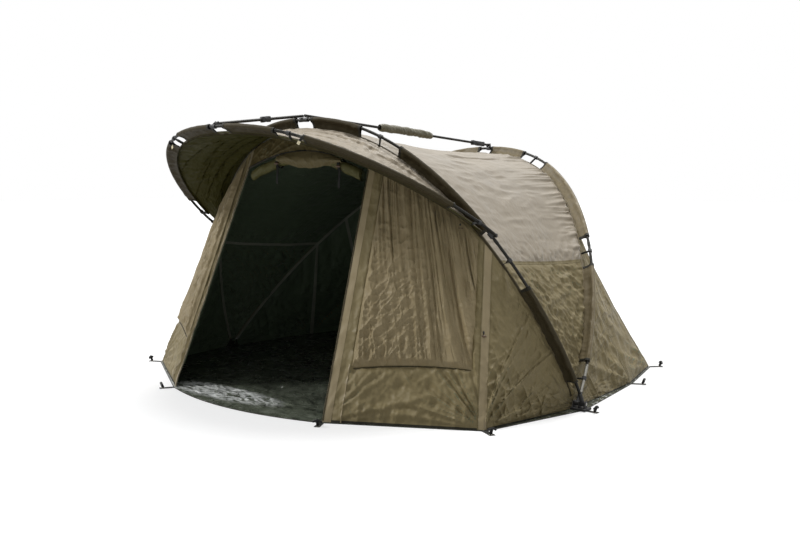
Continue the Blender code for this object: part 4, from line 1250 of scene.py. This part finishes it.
class BIVVY_OT_hoop_clips(Operator):
    """Hooked clips that hold the cover to the poles in the gaps between the sleeves"""

    bl_idname = "bivvy.hoop_clips"
    bl_label = "Hoop clips"

    def execute(self, context):
        width = context.scene.bivvy_sizes.webbing_width
        for hoop_name, shares in CLIP_PLACES.items():
            hoop = HOOPS[hoop_name]
            made = Sewing()
            for share in shares:
                for sign in (-1, 1):
                    self.clip(made, hoop, sign * (1 - share), width)
            piece = made.make(hoop_name + "_hoop_clips", ["moulding", "webbing"])
            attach(piece, hoop_name + "_hoop")
        return {"FINISHED"}

    def clip(self, made, hoop, s, width):
        middle, down = hoop.at(s), hoop.inward(s)
        run = np.cross(down, hoop.back)
        turn = np.radians(span(-140, 140, 16))[:, None]
        arc = middle + 0.0104 * (np.sin(turn) * hoop.back - np.cos(turn) * down)
        made.strap(arc, unit(arc - middle), 0.019, slot=0, thick=0.0036)
        stem = middle + down * span(0.009, 0.026, 5)[:, None]
        made.cord(stem, (0.0052, 0.0060, 0.0064, 0.0060, 0.0056, 0.0050), sides=12)
        loop = middle + down * span(0.021, 0.0585, 6)[:, None]
        made.strap(loop, run, width * 0.8, slot=1, thick=0.0022)


# Where each hoop's seam starts, and the finishes of its outside and its inside.
HOOP_SEAMS = {
    "centre": (0.045, ["sleeve_cloth", "inner_tape"]),
    "rear": (0.036, ["rear_sleeve_cloth", "inner_tape"]),
    "peak": (0.150, ["sleeve_cloth", "peak_lining"]),
}


def hoop_seam(hoop, low):
    """The bound seam that runs under a whole hoop, and its tape inside the tent."""
    made = Sewing()
    places = span(-(1 - low), 1 - low, 320)
    line = skin_edge(hoop, places, 0.0, -0.0012)
    made.cord(line, 0.0036, slot=1 if hoop is PEAK else 0, sides=10)
    across = span(-0.010, 0.010, 4)
    down = hoop.inward(places)
    outer = line[:, None] + hoop.back * across[:, None]
    outer = outer + down[:, None] * (np.abs(across) * 0.25)[:, None]
    made.shell(outer, None, (0, 0), TAPE_LIFT, 0.0010)
    inner = outer + down[:, None] * 0.0052
    made.shell(inner, None, (1, 1), 0.0, 0.0008)
    return made


class BIVVY_OT_hoop_seams(Operator):
    """Seams along the three hoops"""

    bl_idname = "bivvy.hoop_seams"
    bl_label = "Hoop seams"

    def execute(self, context):
        for name, (low, finishes) in HOOP_SEAMS.items():
            piece = hoop_seam(HOOPS[name], low).make(name + "_hoop_seam", finishes)
            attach(piece, name + "_hoop")
        return {"FINISHED"}


# Panels of the cover.


class BIVVY_OT_roof_cover(Operator):
    """The roof between the centre hoop and the rear hoop"""

    bl_idname = "bivvy.roof_cover"
    bl_label = "Roof"

    def execute(self, context):
        sizes = context.scene.bivvy_sizes
        depth = sizes.fold_depth
        end = 1 - ROOF_SEAM_SHARE + 0.001

        def surface(s, t):
            return roof_surface(s, t, depth)

        made = Sewing()
        s, t = grid_of("roof", -end, end)
        made.shell(surface(s, t), 1 - t)
        half = sizes.seam_width / 2 / ROOF_HALF_LENGTH
        for sign in (-1, 1):
            middle = sign * (1 - ROOF_SEAM_SHARE)
            places = span(middle - half, middle + half, 4)
            taped(made, surface, places, span(0.004, 0.996, 84), falling)
        piece = made.make("roof_cover", ["roof_cloth", "lining", "seam_band", "inner_tape"])
        made.blended(piece)
        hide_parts("roof_panel")
        return {"FINISHED"}


class BIVVY_OT_side_covers(Operator):
    """The side walls below the roof's seams"""

    bl_idname = "bivvy.side_covers"
    bl_label = "Side walls"

    def execute(self, context):
        depth = context.scene.bivvy_sizes.fold_depth
        for side, sign in SIDES.items():
            made = Sewing()
            share, t = grid_of("side", COVER_FOOT_SHARE, ROOF_SEAM_SHARE - 0.0008)
            made.shell(roof_surface(sign * (1 - share), t, depth), 1 - t)
            piece = made.make("side_cover_" + side, ["wall_cloth", "lining"])
            made.blended(piece)
            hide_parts("side_wall_" + side)
        return {"FINISHED"}


class BIVVY_OT_rear_cover(Operator):
    """The rear wall with its quarter panels, seams and hem"""

    bl_idname = "bivvy.rear_cover"
    bl_label = "Rear wall"

    def execute(self, context):
        sizes = context.scene.bivvy_sizes
        depth = sizes.fold_depth
        end = 1 - COVER_FOOT_SHARE

        def surface(s, t):
            return rear_surface(s, t, depth)

        made = Sewing()
        s, t = grid_of("rear", -end, end)
        made.shell(surface(s, t), 1 - t)
        half = sizes.seam_width / 2 / HALF_ARCH
        for sign in (-1, 1):
            for share in (QUARTER_SEAM_SHARE, REAR_CORNER_SHARE):
                middle = sign * (1 - share)
                places = span(middle - half, middle + half, 4)
                taped(made, surface, places, span(0.006, 0.996, 80), falling)
        hem_start = 1 - sizes.hem_width / 1.2
        whole = span(-end, end, STEPS["rear"][0])
        hem_band(made, surface, whole, hem_start, 1.0, falling)
        for sign in (-1, 1):
            made.shell(foot_patch(sign), both(np.ones(9), span(0, 1, 12))[1], (4, 4))
        finishes = ["wall_cloth", "lining", "seam_band", "inner_tape", "binding"]
        piece = made.make("rear_cover", finishes)
        made.blended(piece)
        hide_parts("rear_wall")
        return {"FINISHED"}


class BIVVY_OT_front_covers(Operator):
    """The two front panels beside the doorway"""

    bl_idname = "bivvy.front_covers"
    bl_label = "Front panels"

    def execute(self, context):
        sizes = context.scene.bivvy_sizes
        depth = sizes.fold_depth
        for side, sign in SIDES.items():
            made = Sewing()

            def surface(a, b, sign=sign):
                return front_surface(a, sign, b, depth)

            share, t = grid_of("front", COVER_FOOT_SHARE, DOOR_SEAM_SHARE)
            made.shell(surface(share, t))
            corner = span(CORNER_SEAM_SHARE - 0.013, CORNER_SEAM_SHARE + 0.013, 8)
            rise = span(0.0, 0.985, 100)
            band(made, surface, corner, rise, None, 5)
            for middle in (corner[0], corner[-1]):
                places = span(middle - 0.0012, middle + 0.0012, 2)
                band(made, surface, places, rise, None, 2, 0.0022)
            edge = span(DOOR_SEAM_SHARE - 0.020, DOOR_SEAM_SHARE, 6)
            band(made, surface, edge, span(0.0, 0.99, 100), None, 5)
            piping = span(PIPING_SHARE, PIPING_SHARE + 0.0025, 2)
            band(made, surface, piping, span(0.0, FLAP_LOWS[1] + 0.01, 40), None, 5, 0.0022)
            coil = span(DOOR_SEAM_SHARE - 0.0035, DOOR_SEAM_SHARE - 0.0005, 2)
            band(made, surface, coil, span(0.004, 0.90, 200), None, 6, 0.0024)
            inner = span(DOOR_SEAM_SHARE - 0.014, DOOR_SEAM_SHARE, 4)
            band(made, surface, inner, rise, None, 3, -TAPE_LIFT)
            whole = span(COVER_FOOT_SHARE, DOOR_SEAM_SHARE, 300)
            hem_band(made, surface, whole, 0.0, sizes.hem_width / 1.25)
            finishes = ["wall_cloth", "lining", "seam_band", "inner_tape", "binding"]
            finishes += ["panel_edge_cloth", "zip_tape"]
            piece = made.make("front_cover_" + side, finishes)
            flattened(piece)
            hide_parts("front_panel_" + side)
        return {"FINISHED"}


class BIVVY_OT_window_flaps(Operator):
    """The folded covers zipped over the windows of the front panels"""

    bl_idname = "bivvy.window_flaps"
    bl_label = "Window covers"

    def execute(self, context):
        depth = context.scene.bivvy_sizes.fold_depth
        for side, sign in SIDES.items():
            made = Sewing()
            part, up = grid_of("flap", 0, 1)
            made.shell(flap_surface(part, sign, up, depth))

            def surface(a, b, sign=sign):
                cover = flap_surface(a.clip(0, 1), sign, b.clip(0, 1), 0.0)
                return cover + self.beyond(a, b, sign)

            rise = span(-0.012, 1.0, 220)
            for first, second in (
                (span(-0.022, 0.004, 3), rise),
                (span(0.996, 1.022, 3), rise),
                (span(-0.022, 1.022, 220), span(-0.016, 0.004, 3)),
            ):
                band(made, surface, first, second, None, 2, -0.0016)
            self.coils(made, sign)
            finishes = ["flap_cloth", "lining", "seam_band", "zip_tape"]
            piece = made.make("window_flap_" + side, finishes)
            flattened(piece)
            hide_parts("window_cover_" + side)
        return {"FINISHED"}

    def beyond(self, part, up, sign):
        """How far a place beyond the flap's edge lies from that edge."""
        near = flap_base(part.clip(0, 1), sign, up.clip(0, 1))
        return flap_base(part, sign, up) - near

    def coils(self, made, sign):
        """Zip coils just outside the flap's two sides and its lower edge."""
        out = front_outward(sign)
        up = span(-0.006, 0.97, 160)
        across = span(-0.009, 1.009, 160)
        for part, height, slot, radius in (
            (np.full_like(up, -0.009), up, 2, 0.0022),
            (np.full_like(up, 1.009), up, 2, 0.0022),
            (across, np.full_like(across, -0.006), 3, 0.0030),
        ):
            made.cord(flap_base(part, sign, height) + out * 0.0044, radius, slot=slot, sides=6)


class BIVVY_OT_door_header(Operator):
    """The strip of cover over the doorway"""

    bl_idname = "bivvy.door_header"
    bl_label = "Door header"

    def execute(self, context):
        made = Sewing()
        across, t = grid_of("header", -1, 1)
        made.shell(header_surface(across, t))
        for lift, slot in ((TAPE_LIFT, 2), (-TAPE_LIFT, 1)):
            whole = span(-1, 1, STEPS["header"][0])
            band(made, header_surface, whole, span(0.0, 0.10, 3), None, slot, lift)
        piece = made.make("door_header_cloth", ["header_cloth", "lining", "binding"])
        flattened(piece)
        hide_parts("door_header")
        return {"FINISHED"}


# The rolled door.

ROLL_HALF_HEIGHT = 0.034
ROLL_HALF_DEPTH = 0.026
ROLL_TURNS = 12.0
ROLL_INSET = 0.045
STRAP_PLACES = (-0.47, 0.66)


def roll_middle(across):
    """The middle line of the roll, close under the doorway's top edge."""
    return door_top(across, ROLL_INSET) - Z * (ROLL_HALF_HEIGHT + 2 * GAP)


def roll_squeeze(across):
    """How far a strap pinches the roll, from 0 to 1."""
    total = 0
    for place in STRAP_PLACES:
        total = total + np.exp(-(((across - place) / 0.045) ** 2))
    return np.minimum(1, total)


class BIVVY_OT_rolled_door(Operator):
    """The door, wound up under the top edge of the doorway"""

    bl_idname = "bivvy.rolled_door"
    bl_label = "Rolled door"

    def execute(self, context):
        made = Sewing()
        across, wound = grid_of("roll", -1, 1)
        across_m = across * ROLL_HALF_LENGTH
        angle = math.pi / 2 + 2 * math.pi * ROLL_TURNS * wound
        loose = 0.10 * swell(across_m, wound * 1.3, 71, 0.16, 3.0)
        size = (0.16 + 0.77 * wound) * (1 - 0.16 * roll_squeeze(across)) + 0.36 * loose * wound
        slack = facets(across_m, 0.16 * np.sin(angle), 73, 0.050, 1.5) - 0.5
        size = (size + 0.13 * slack * wound**6).clip(0.08, 1.04)
        sag = 0.008 * swell(across_m, 0 * across, 72, 0.30)
        rise = size * ROLL_HALF_HEIGHT * np.sin(angle) + sag
        depth = size * ROLL_HALF_DEPTH * np.cos(angle)
        points = roll_middle(across) + Z * rise[..., None] + Y * depth[..., None]
        made.shell(points, None, (0, 1), 0.0, 0.0005)
        piece = made.make("rolled_door", ["door_cloth", "lining"])
        flattened(piece)
        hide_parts("door_roll")
        self.drape()
        self.straps(context)
        return {"FINISHED"}

    def drape(self):
        """A slack fold of the door that sags between two straps in front of the roll."""
        made = Sewing()
        low, high = STRAP_PLACES[0] - 0.02, STRAP_PLACES[1] + 0.04
        across, down = grid_of("drape", low, high)
        across_m, down_m = across * ROLL_HALF_LENGTH, down * 0.10
        top = door_top(across, ROLL_INSET) + Z * 0.003
        curve = np.sin(math.pi * (across - low) / (high - low)).clip(0) ** 0.6
        level = top[..., 2].min() - 0.020
        wavy = 0.006 * swell(across_m, 0 * across, 78, 0.14)
        fall = (top[..., 2] - level + 0.026 * curve**2 + wavy) * down
        out = 0.029 + 0.010 * curve * np.sin(math.pi * down.clip(0, 1) ** 1.3)
        out = out * np.sin(math.pi * (0.16 + 0.70 * down))
        out = out + 0.0040 * crumple(across_m, down_m, 74, 0.10, 1.2) * np.sqrt(down) * curve
        out = out + 0.0060 * facets(across_m - down_m, down_m, 77, 0.060, 1.0) * down * curve
        for end, seed, arc in ((low, 75, (5, 60)), (high, 76, (120, 175))):
            spot = (end * ROLL_HALF_LENGTH, 0.0)
            out = out + 0.0050 * rays(across_m, down_m, spot, seed, 7, arc, 0.25, 0.008)
        points = top - Z * fall[..., None] - Y * out[..., None]
        made.shell(points, None, (0, 0), 0.0, 0.0009, np.array((0.0, 0.5, 1.2)))
        piece = made.make("door_drape", ["drape_cloth"])
        flattened(piece)

    def straps(self, context):
        """Two straps round the roll; each ends in a toggle and a loose tail."""
        made = Sewing()
        width = context.scene.bivvy_sizes.webbing_width
        turn, fall = span(0, 2 * math.pi, 40)[:, None], span(0, 1, 16)[:, None]
        for place in STRAP_PLACES:
            middle = roll_middle(place)
            ring = middle + 0.96 * ROLL_HALF_HEIGHT * np.sin(turn) * Z
            ring = ring + 1.12 * ROLL_HALF_DEPTH * np.cos(turn) * Y
            made.strap(ring, unit(ring - middle), width, slot=0)
            low = middle - Y * 0.026 - Z * ROLL_HALF_HEIGHT * 0.55
            tail = low - Z * (0.105 * fall) - Y * (0.010 * np.sin(3 * fall))
            tail = tail + X * (0.030 * fall - 0.020 * fall**2 + 0.006 * np.sin(5 * fall))
            made.strap(tail, np.array((0.25, -1.0, 0.0)), width * 0.8, slot=0)
            knob = low - Y * 0.004 + Z * 0.012 + X * span(-0.016, 0.016, 8)[:, None]
            bulge = 0.0035 + 0.0035 * np.sin(span(0, math.pi, 8)) ** 0.5
            made.cord(knob, bulge, slot=1, sides=12)
        piece = made.make("door_straps", ["webbing", "toggle"])
        flattened(piece)


class BIVVY_OT_peak_cover(Operator):
    """The peak between the centre hoop and the peak hoop, with its dark lining, whose colour also
    carries painted shade
    """

    bl_idname = "bivvy.peak_cover"
    bl_label = "Peak"

    def execute(self, context):
        depth = context.scene.bivvy_sizes.fold_depth
        end = 1 - CANOPY_END_SHARE
        made = Sewing()

        def surface(s, t):
            return canopy_surface(s, t, depth)

        s, t = grid_of("peak", -end, end)
        made.shell(surface(s, t), t)
        for places in (span(-end, -end + 0.010, 2), span(end - 0.010, end, 2)):
            band(made, surface, places, span(0.01, 0.99, 60), rising, 2)
        piece = made.make("peak_cover", ["peak_cloth", "peak_lining", "binding"])
        made.blended(piece)
        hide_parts("peak_canopy")
        return {"FINISHED"}


# The groundsheet.


def outline_points():
    """The groundsheet's outline from above, with its bowed front and rear edges."""

    def out(corner, sign):
        point = np.array((sign * corner[0], corner[1]))
        return point + point / np.linalg.norm(point) * SHEET_MARGIN

    right = [out(c, 1) for c in (REAR_CORNER, REAR_QUARTER, SIDE_TAB, FRONT_CORNER, DOOR_FOOT)]
    door = [
        np.array((DOOR_FOOT[0] * a, DOOR_FOOT[1] - SHEET_MARGIN - DOOR_BOW * (1 - a * a)))
        for a in span(0.94, -0.94, 40)
    ]
    rear = [
        np.array((REAR_CORNER[0] * a, REAR_CORNER[1] + SHEET_MARGIN + REAR_BOW * (1 - a * a)))
        for a in span(-0.97, 0.97, 40)
    ]
    left = [p * (-1, 1) for p in right[::-1]]
    return np.array(right + door + left + rear)


def evenly(points, count):
    """The same closed line with its points evenly apart."""
    closed = np.vstack((points, points[:1]))
    length = np.append(0, np.cumsum(np.linalg.norm(np.diff(closed, axis=0), axis=1)))
    places = np.linspace(0, length[-1], count + 1)
    return np.stack([np.interp(places, length, closed[:, k]) for k in (0, 1)], -1)


class BIVVY_OT_ground_cover(Operator):
    """The heavy groundsheet with its webbing tabs and eyelets"""

    bl_idname = "bivvy.ground_cover"
    bl_label = "Groundsheet"

    def execute(self, context):
        made = Sewing()
        edge = evenly(outline_points(), 520)
        middle = np.array((0.0, 0.10))
        share = np.append(span(0.0006, 0.972, 104), span(0.974, 1, 13))
        flat = middle + (edge - middle)[:, None] * share[:, None]
        x, y = flat[..., 0], flat[..., 1]
        crinkle = 1 - np.abs(swell(x, y, 81, 0.34)) * 2.2
        crinkle = crinkle.clip(0) ** 2 + 0.45 * (1 - np.abs(swell(x, y, 82, 0.13)) * 2.4).clip(0)
        apron = np.exp(-(((y + 1.02) / 0.16) ** 2)) * (1 + swell(x, y, 83, 0.09, 0.6))
        inner = ((1 - share) * 9).clip(0, 1)
        height = 0.0014 + (0.0045 * crinkle + 0.0040 * apron) * inner
        inset = np.linalg.norm(edge - middle, axis=1)[:, None] * (1 - share)
        height = height + 0.0011 * np.exp(-(((inset - 0.013) / 0.009) ** 4))
        points = np.stack((x, y, height), -1)
        made.shell(points, None, (0, 0), 0.0, 0.0022, UNDER_GROUND)
        rim = np.stack((edge[:, 0], edge[:, 1], np.full(len(edge), 0.0030)), -1)
        made.cord(rim[:-1], 0.0021, slot=1, sides=8)
        for corner in (DOOR_FOOT, FRONT_CORNER, SIDE_TAB, REAR_QUARTER, REAR_CORNER):
            for sign in (-1, 1):
                self.tab(made, np.array((sign * corner[0], corner[1])))
        finishes = ["groundsheet_vinyl", "binding", "webbing", "eyelet"]
        piece = made.make("ground_cover", finishes)
        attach(piece, "root")
        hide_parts("groundsheet")
        return {"FINISHED"}

    def tab(self, made, corner):
        """A webbing tab with a hole for its peg, and the eyelet round the hole."""
        out = corner / np.linalg.norm(corner)
        side = np.array((out[1], -out[0]))
        hole = corner + out * HOLE_REACH
        turn = span(0, 2 * math.pi, 64)
        heading = np.stack((np.cos(turn), np.sin(turn)), -1)
        ahead = np.where(heading[:, 0] > 0, TAB_REACH - HOLE_REACH, TAB_REACH)
        reach = np.minimum(
            ahead / np.abs(heading[:, 0]).clip(1e-6),
            TAB_HALF_WIDTH / np.abs(heading[:, 1]).clip(1e-6),
        )
        rings = []
        for share in span(0, 1, 8):
            distance = HOLE_RADIUS * (1 - share) + reach * share
            flat = hole + (heading[:, :1] * out + heading[:, 1:] * side) * distance[:, None]
            rings.append(np.column_stack((flat, np.full(len(flat), 0.0022))))
        made.shell(np.array(rings), None, (2, 2), 0.0, 0.0014, UNDER_GROUND)
        ring = hole + heading * (HOLE_RADIUS + 0.0015)
        ring = np.column_stack((ring, np.full(len(turn), 0.0024)))
        made.cord(ring[:-1], 0.0013, slot=3, sides=8)


# The ridge bars.

WRAP_RUN = (0.640, 1.140)
WRAP_RADIUS = 0.0235
WRAP_NECK = 0.0125


class BIVVY_OT_bar_cloth(Operator):
    """The slack cloth tube gathered round the rear ridge bar"""

    bl_idname = "bivvy.bar_cloth"
    bl_label = "Bar wrap"

    def execute(self, context):
        start, end = bar_ends("rear")
        run = unit(end - start)
        rise = np.cross(X, run)
        low, high = WRAP_RUN
        made = Sewing()
        along, turn = both(span(low, high, 130), span(0, 2 * math.pi, 48))
        gather = 2 * (turn + along * 24) + 1.5 * swell(along, 0.03 * turn, 91, 0.12)
        gather = 0.55 * np.sin(gather) + 0.6 * crumple(along, 0.022 * np.sin(turn), 92, 0.05)
        radius = WRAP_RADIUS + 0.0024 * gather
        neck = np.minimum(1, 30 * np.minimum(along - low, high - along))
        radius = WRAP_NECK + (radius - WRAP_NECK) * (0.35 + 0.65 * np.sqrt(neck))
        slack = 0.004 * np.sin(math.pi * (along - low) / (high - low))
        points = start + run * along[..., None] + X * (radius * np.cos(turn))[..., None]
        points = points + rise * (radius * np.sin(turn) - slack)[..., None]
        made.shell(points, None, (0, 0), 0.0, 0.0009, points.mean((0, 1)))
        turn = span(0, 2 * math.pi, 40)[:-1, None]
        for place in (low + 0.008, high - 0.008):
            ring = start + run * place + WRAP_NECK * (X * np.cos(turn) + rise * np.sin(turn))
            made.cord(ring, 0.0022, slot=1)
        piece = made.make("bar_wrap_cloth", ["wrap_cloth", "binding"])
        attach(piece, "rear_bar")
        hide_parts("bar_wrap")
        return {"FINISHED"}


BAR_EYES = {"rear": (0.02, 1.15731, 1.4298), "front": (-0.02, -1.18, 1.47911)}


def bar_ends(name):
    """The eye of a ridge bar, and the point above the clip on which its free end rests."""
    eye = np.array(BAR_EYES[name])
    rest = CENTRE.at(0.0) + Z * (0.0125 + 0.0078 + GAP) + X * eye[0]
    return eye, rest


def rounded_block(half, corner):
    """A block with rounded edges, centred on its origin."""
    made = bmesh.new()
    bmesh.ops.create_cube(made, size=2.0)
    bmesh.ops.scale(made, vec=half, verts=made.verts)
    edges = list(made.edges)
    bmesh.ops.bevel(made, geom=edges, offset=corner, segments=3, affect="EDGES", profile=0.5)
    return made


class BIVVY_OT_adjusters(Operator):
    """The cam blocks that lock the length of the two ridge bars"""

    bl_idname = "bivvy.adjusters"
    bl_label = "Bar adjusters"

    def execute(self, context):
        for name, at, length in (("front", 0.300, 0.062), ("rear", 0.060, 0.135)):
            start, end = bar_ends(name)
            run = unit(end - start)
            rise = np.cross(X, run)
            made = bmesh.new()
            self.block(made, (0, length / 2, 0), (0.0125, length / 2, 0.0145), 0.005)
            for place in (0.010, length - 0.010):
                self.block(made, (0, place, 0), (0.0130, 0.0065, 0.0160), 0.004)
            for number in range(4):
                rib = length / 2 - 0.012 + number * 0.008
                self.block(made, (0, rib, 0.0145), (0.0095, 0.0022, 0.0016), 0.001)
            for aside in (0.0120, -0.0120):
                lever = (aside, length * 0.62, -0.002)
                self.block(made, lever, (0.0020, 0.016, 0.0050), 0.0018)
            data = bpy.data.meshes.new(name + "_adjuster")
            made.to_mesh(data)
            made.free()
            turn = Matrix((Vector(X), Vector(run), Vector(rise))).transposed().to_4x4()
            data.transform(Matrix.Translation(Vector(start + run * at)) @ turn)
            data.materials.append(finish_of("moulding"))
            data.polygons.foreach_set("use_smooth", [True] * len(data.polygons))
            data.set_sharp_from_angle(angle=math.radians(40))
            piece = bpy.data.objects.new(name + "_adjuster_block", data)
            context.scene.collection.objects.link(piece)
            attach(piece, name + "_bar")
            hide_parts(name + "_bar_adjuster")
        return {"FINISHED"}

    def block(self, whole, place, half, corner):
        part = rounded_block(half, corner)
        bmesh.ops.translate(part, vec=place, verts=part.verts)
        data = bpy.data.meshes.new("block")
        part.to_mesh(data)
        part.free()
        whole.from_mesh(data)
        bpy.data.meshes.remove(data)


PULL_PLACES = ((0.466, 0.50), (0.545, 0.94))
TIP_SHARE = 0.741


class BIVVY_OT_trims(Operator):
    """Zip pulls on the front panels and the webbing tips at the sides of the peak"""

    bl_idname = "bivvy.trims"
    bl_label = "Toggles and tips"

    def execute(self, context):
        for side, sign in SIDES.items():
            made = Sewing()
            out = front_outward(sign)
            for share, t in PULL_PLACES:
                top = front_base(np.array(share), sign, np.array(t)) + out * 0.012
                fall = span(0, 1, 8)
                cord = top - Z * (0.034 * fall)[:, None] + out * (0.004 * fall)[:, None]
                made.cord(cord, 0.0014, slot=0)
                pod = cord[-1] - Z * (0.030 * span(0, 1, 10))[:, None]
                swollen = np.sin(span(0, math.pi, 10)) ** 0.6
                made.cord(pod, 0.0026 + 0.0062 * swollen, slot=1, sides=12)
                bar = cord[4] + np.cross(out, Z) * span(-0.016, 0.016, 8)[:, None]
                made.cord(bar, 0.0030 + 0.0030 * swollen[:9], slot=1, sides=12)
                slider = top + Z * span(-0.004, 0.012, 6)[:, None] - out * 0.005
                made.cord(slider, (0.0025, 0.0045, 0.005, 0.005, 0.004, 0.0025, 0.001), slot=2)
            piece = made.make("zip_pulls_" + side, ["webbing", "toggle", "moulding"])
            flattened(piece)
        made = Sewing()
        for sign in (-1, 1):
            place = sign * (1 - TIP_SHARE)
            facing = np.array((sign * 0.3, -1.0, 0.2))
            root = PEAK.at(place) + PEAK.inward(place) * 0.014
            fall = span(0, 1, 10)[:, None]
            tail = root - Z * (0.030 * fall) - X * (sign * 0.010 * fall**2)
            tail = tail - Y * (0.016 * (1 - (1 - fall) ** 2))
            made.strap(tail[:6], facing, 0.014, slot=0)
            made.strap(tail[5:], facing, 0.016, slot=1, thick=0.0028)
        piece = made.make("peak_tips", ["webbing", "cream_tip"])
        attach(piece, "peak_hoop")
        return {"FINISHED"}


# Floor, sky, lamps and camera.

FLOOR_HALF = 40.0
LAMP_AIM = (0.0, 0.0, 0.6)
CAMERA_PLACE = (3.840, -4.232, 1.206)
CAMERA_TURN = (90 - 5.48, 0.0, 40.69)
CAMERA_LENS = 42.1


class BIVVY_OT_stage(Operator):
    """Pale floor, even sky, two soft lamps and the camera at the photograph's angle"""

    bl_idname = "bivvy.stage"
    bl_label = "Stage"

    def execute(self, context):
        scene = context.scene
        self.floor(scene)
        self.sky(scene)
        strength = scene.bivvy_stage.sun
        self.lamp(scene, "lamp_front", (-4.6, -3.6, 5.2), strength * 0.65, 12)
        self.lamp(scene, "lamp_above", (-0.6, 2.4, 7.0), strength, 30)
        self.camera(scene)
        scene.view_settings.view_transform = "Standard"
        return {"FINISHED"}

    def floor(self, scene):
        data = bpy.data.meshes.new("floor")
        steps = 8
        places = span(-FLOOR_HALF, FLOOR_HALF, steps)
        x, y = both(places, places)
        points = np.stack((x, y, np.zeros_like(x)), -1).reshape(-1, 3)
        grid = np.arange(points.shape[0]).reshape(steps + 1, steps + 1)
        quads = np.stack((grid[:-1, :-1], grid[1:, :-1], grid[1:, 1:], grid[:-1, 1:]), -1)
        data.from_pydata(points.tolist(), [], quads.reshape(-1, 4).tolist())
        made = Finish("pale_floor", 0.9, specular=0.1)
        colour = tuple(scene.bivvy_stage.floor)
        made.coloured(made.between(made.noise("Object", 0.5), colour, scaled(colour, 1.02)))
        glow = made.nodes.new("ShaderNodeLightPath")
        made.shader.inputs["Emission Color"].default_value = (1, 1, 1, 1)
        share = made.ranged(glow.outputs["Is Camera Ray"], 0.0, 1.0, 0.0, 0.50)
        made.links.new(share, made.shader.inputs["Emission Strength"])
        data.materials.append(made.material)
        floor = bpy.data.objects.new("floor", data)
        scene.collection.objects.link(floor)

    def sky(self, scene):
        world = bpy.data.worlds.new("sky")
        scene.world = world
        world.use_nodes = True
        nodes, links = world.node_tree.nodes, world.node_tree.links
        nodes.clear()
        path = nodes.new("ShaderNodeLightPath")
        seen = path.outputs["Is Camera Ray"]
        for name in ("Is Glossy Ray", "Is Transmission Ray"):
            either = nodes.new("ShaderNodeMath")
            either.operation = "MAXIMUM"
            links.new(seen, either.inputs[0])
            links.new(path.outputs[name], either.inputs[1])
            seen = either.outputs[0]
        light, white = nodes.new("ShaderNodeBackground"), nodes.new("ShaderNodeBackground")
        light.inputs["Strength"].default_value = scene.bivvy_stage.sky
        light.inputs["Color"].default_value = (0.97, 0.985, 1.0, 1.0)
        white.inputs["Strength"].default_value = 1.0
        white.inputs["Color"].default_value = (1.0, 1.0, 1.0, 1.0)
        either = nodes.new("ShaderNodeMixShader")
        links.new(seen, either.inputs[0])
        links.new(light.outputs[0], either.inputs[1])
        links.new(white.outputs[0], either.inputs[2])
        out = nodes.new("ShaderNodeOutputWorld")
        links.new(either.outputs[0], out.inputs["Surface"])

    def lamp(self, scene, name, place, strength, softness):
        data = bpy.data.lights.new(name, "SUN")
        data.energy = strength
        data.angle = math.radians(softness)
        lamp = bpy.data.objects.new(name, data)
        lamp.location = place
        aim = Vector(LAMP_AIM) - Vector(place)
        lamp.rotation_euler = aim.to_track_quat("-Z", "Y").to_euler()
        scene.collection.objects.link(lamp)

    def camera(self, scene):
        data = bpy.data.cameras.new("camera")
        data.sensor_width = 36.0
        data.lens = CAMERA_LENS
        data.dof.use_dof = False
        camera = bpy.data.objects.new("camera", data)
        camera.location = CAMERA_PLACE
        camera.rotation_euler = [math.radians(angle) for angle in CAMERA_TURN]
        scene.collection.objects.link(camera)
        scene.camera = camera


OPERATORS = (
    BIVVY_OT_stage,
    BIVVY_OT_fittings,
    BIVVY_OT_poles,
    BIVVY_OT_adjusters,
    BIVVY_OT_sleeves,
    BIVVY_OT_hoop_clips,
    BIVVY_OT_hoop_seams,
    BIVVY_OT_ground_cover,
    BIVVY_OT_roof_cover,
    BIVVY_OT_side_covers,
    BIVVY_OT_rear_cover,
    BIVVY_OT_front_covers,
    BIVVY_OT_window_flaps,
    BIVVY_OT_door_header,
    BIVVY_OT_rolled_door,
    BIVVY_OT_peak_cover,
    BIVVY_OT_bar_cloth,
    BIVVY_OT_trims,
)


class BIVVY_PT_build(Panel):
    """Lists the pieces of the tent, and the sizes and colours they take"""

    bl_label = "Bivvy tent"
    bl_idname = "BIVVY_PT_build"
    bl_space_type = "VIEW_3D"
    bl_region_type = "UI"
    bl_category = "Bivvy"

    def draw(self, context):
        layout = self.layout
        for group in (
            context.scene.bivvy_cloth,
            context.scene.bivvy_sizes,
            context.scene.bivvy_stage,
        ):
            box = layout.box()
            for key in group.__annotations__:
                box.prop(group, key)
        column = layout.column(align=True)
        for operator in OPERATORS:
            column.operator(operator.bl_idname)


GROUPS = {"bivvy_cloth": BivvyCloth, "bivvy_sizes": BivvySizes, "bivvy_stage": BivvyStage}


def register():
    for group in GROUPS.values():
        bpy.utils.register_class(group)
    for name, group in GROUPS.items():
        setattr(bpy.types.Scene, name, PointerProperty(type=group))
    for operator in OPERATORS:
        bpy.utils.register_class(operator)
    bpy.utils.register_class(BIVVY_PT_build)


def unregister():
    bpy.utils.unregister_class(BIVVY_PT_build)
    for operator in reversed(OPERATORS):
        bpy.utils.unregister_class(operator)
    for name, group in GROUPS.items():
        delattr(bpy.types.Scene, name)
        bpy.utils.unregister_class(group)


def main():
    register()
    for operator in OPERATORS:
        family, name = operator.bl_idname.split(".")
        getattr(getattr(bpy.ops, family), name)()


if __name__ == "__main__":
    main()
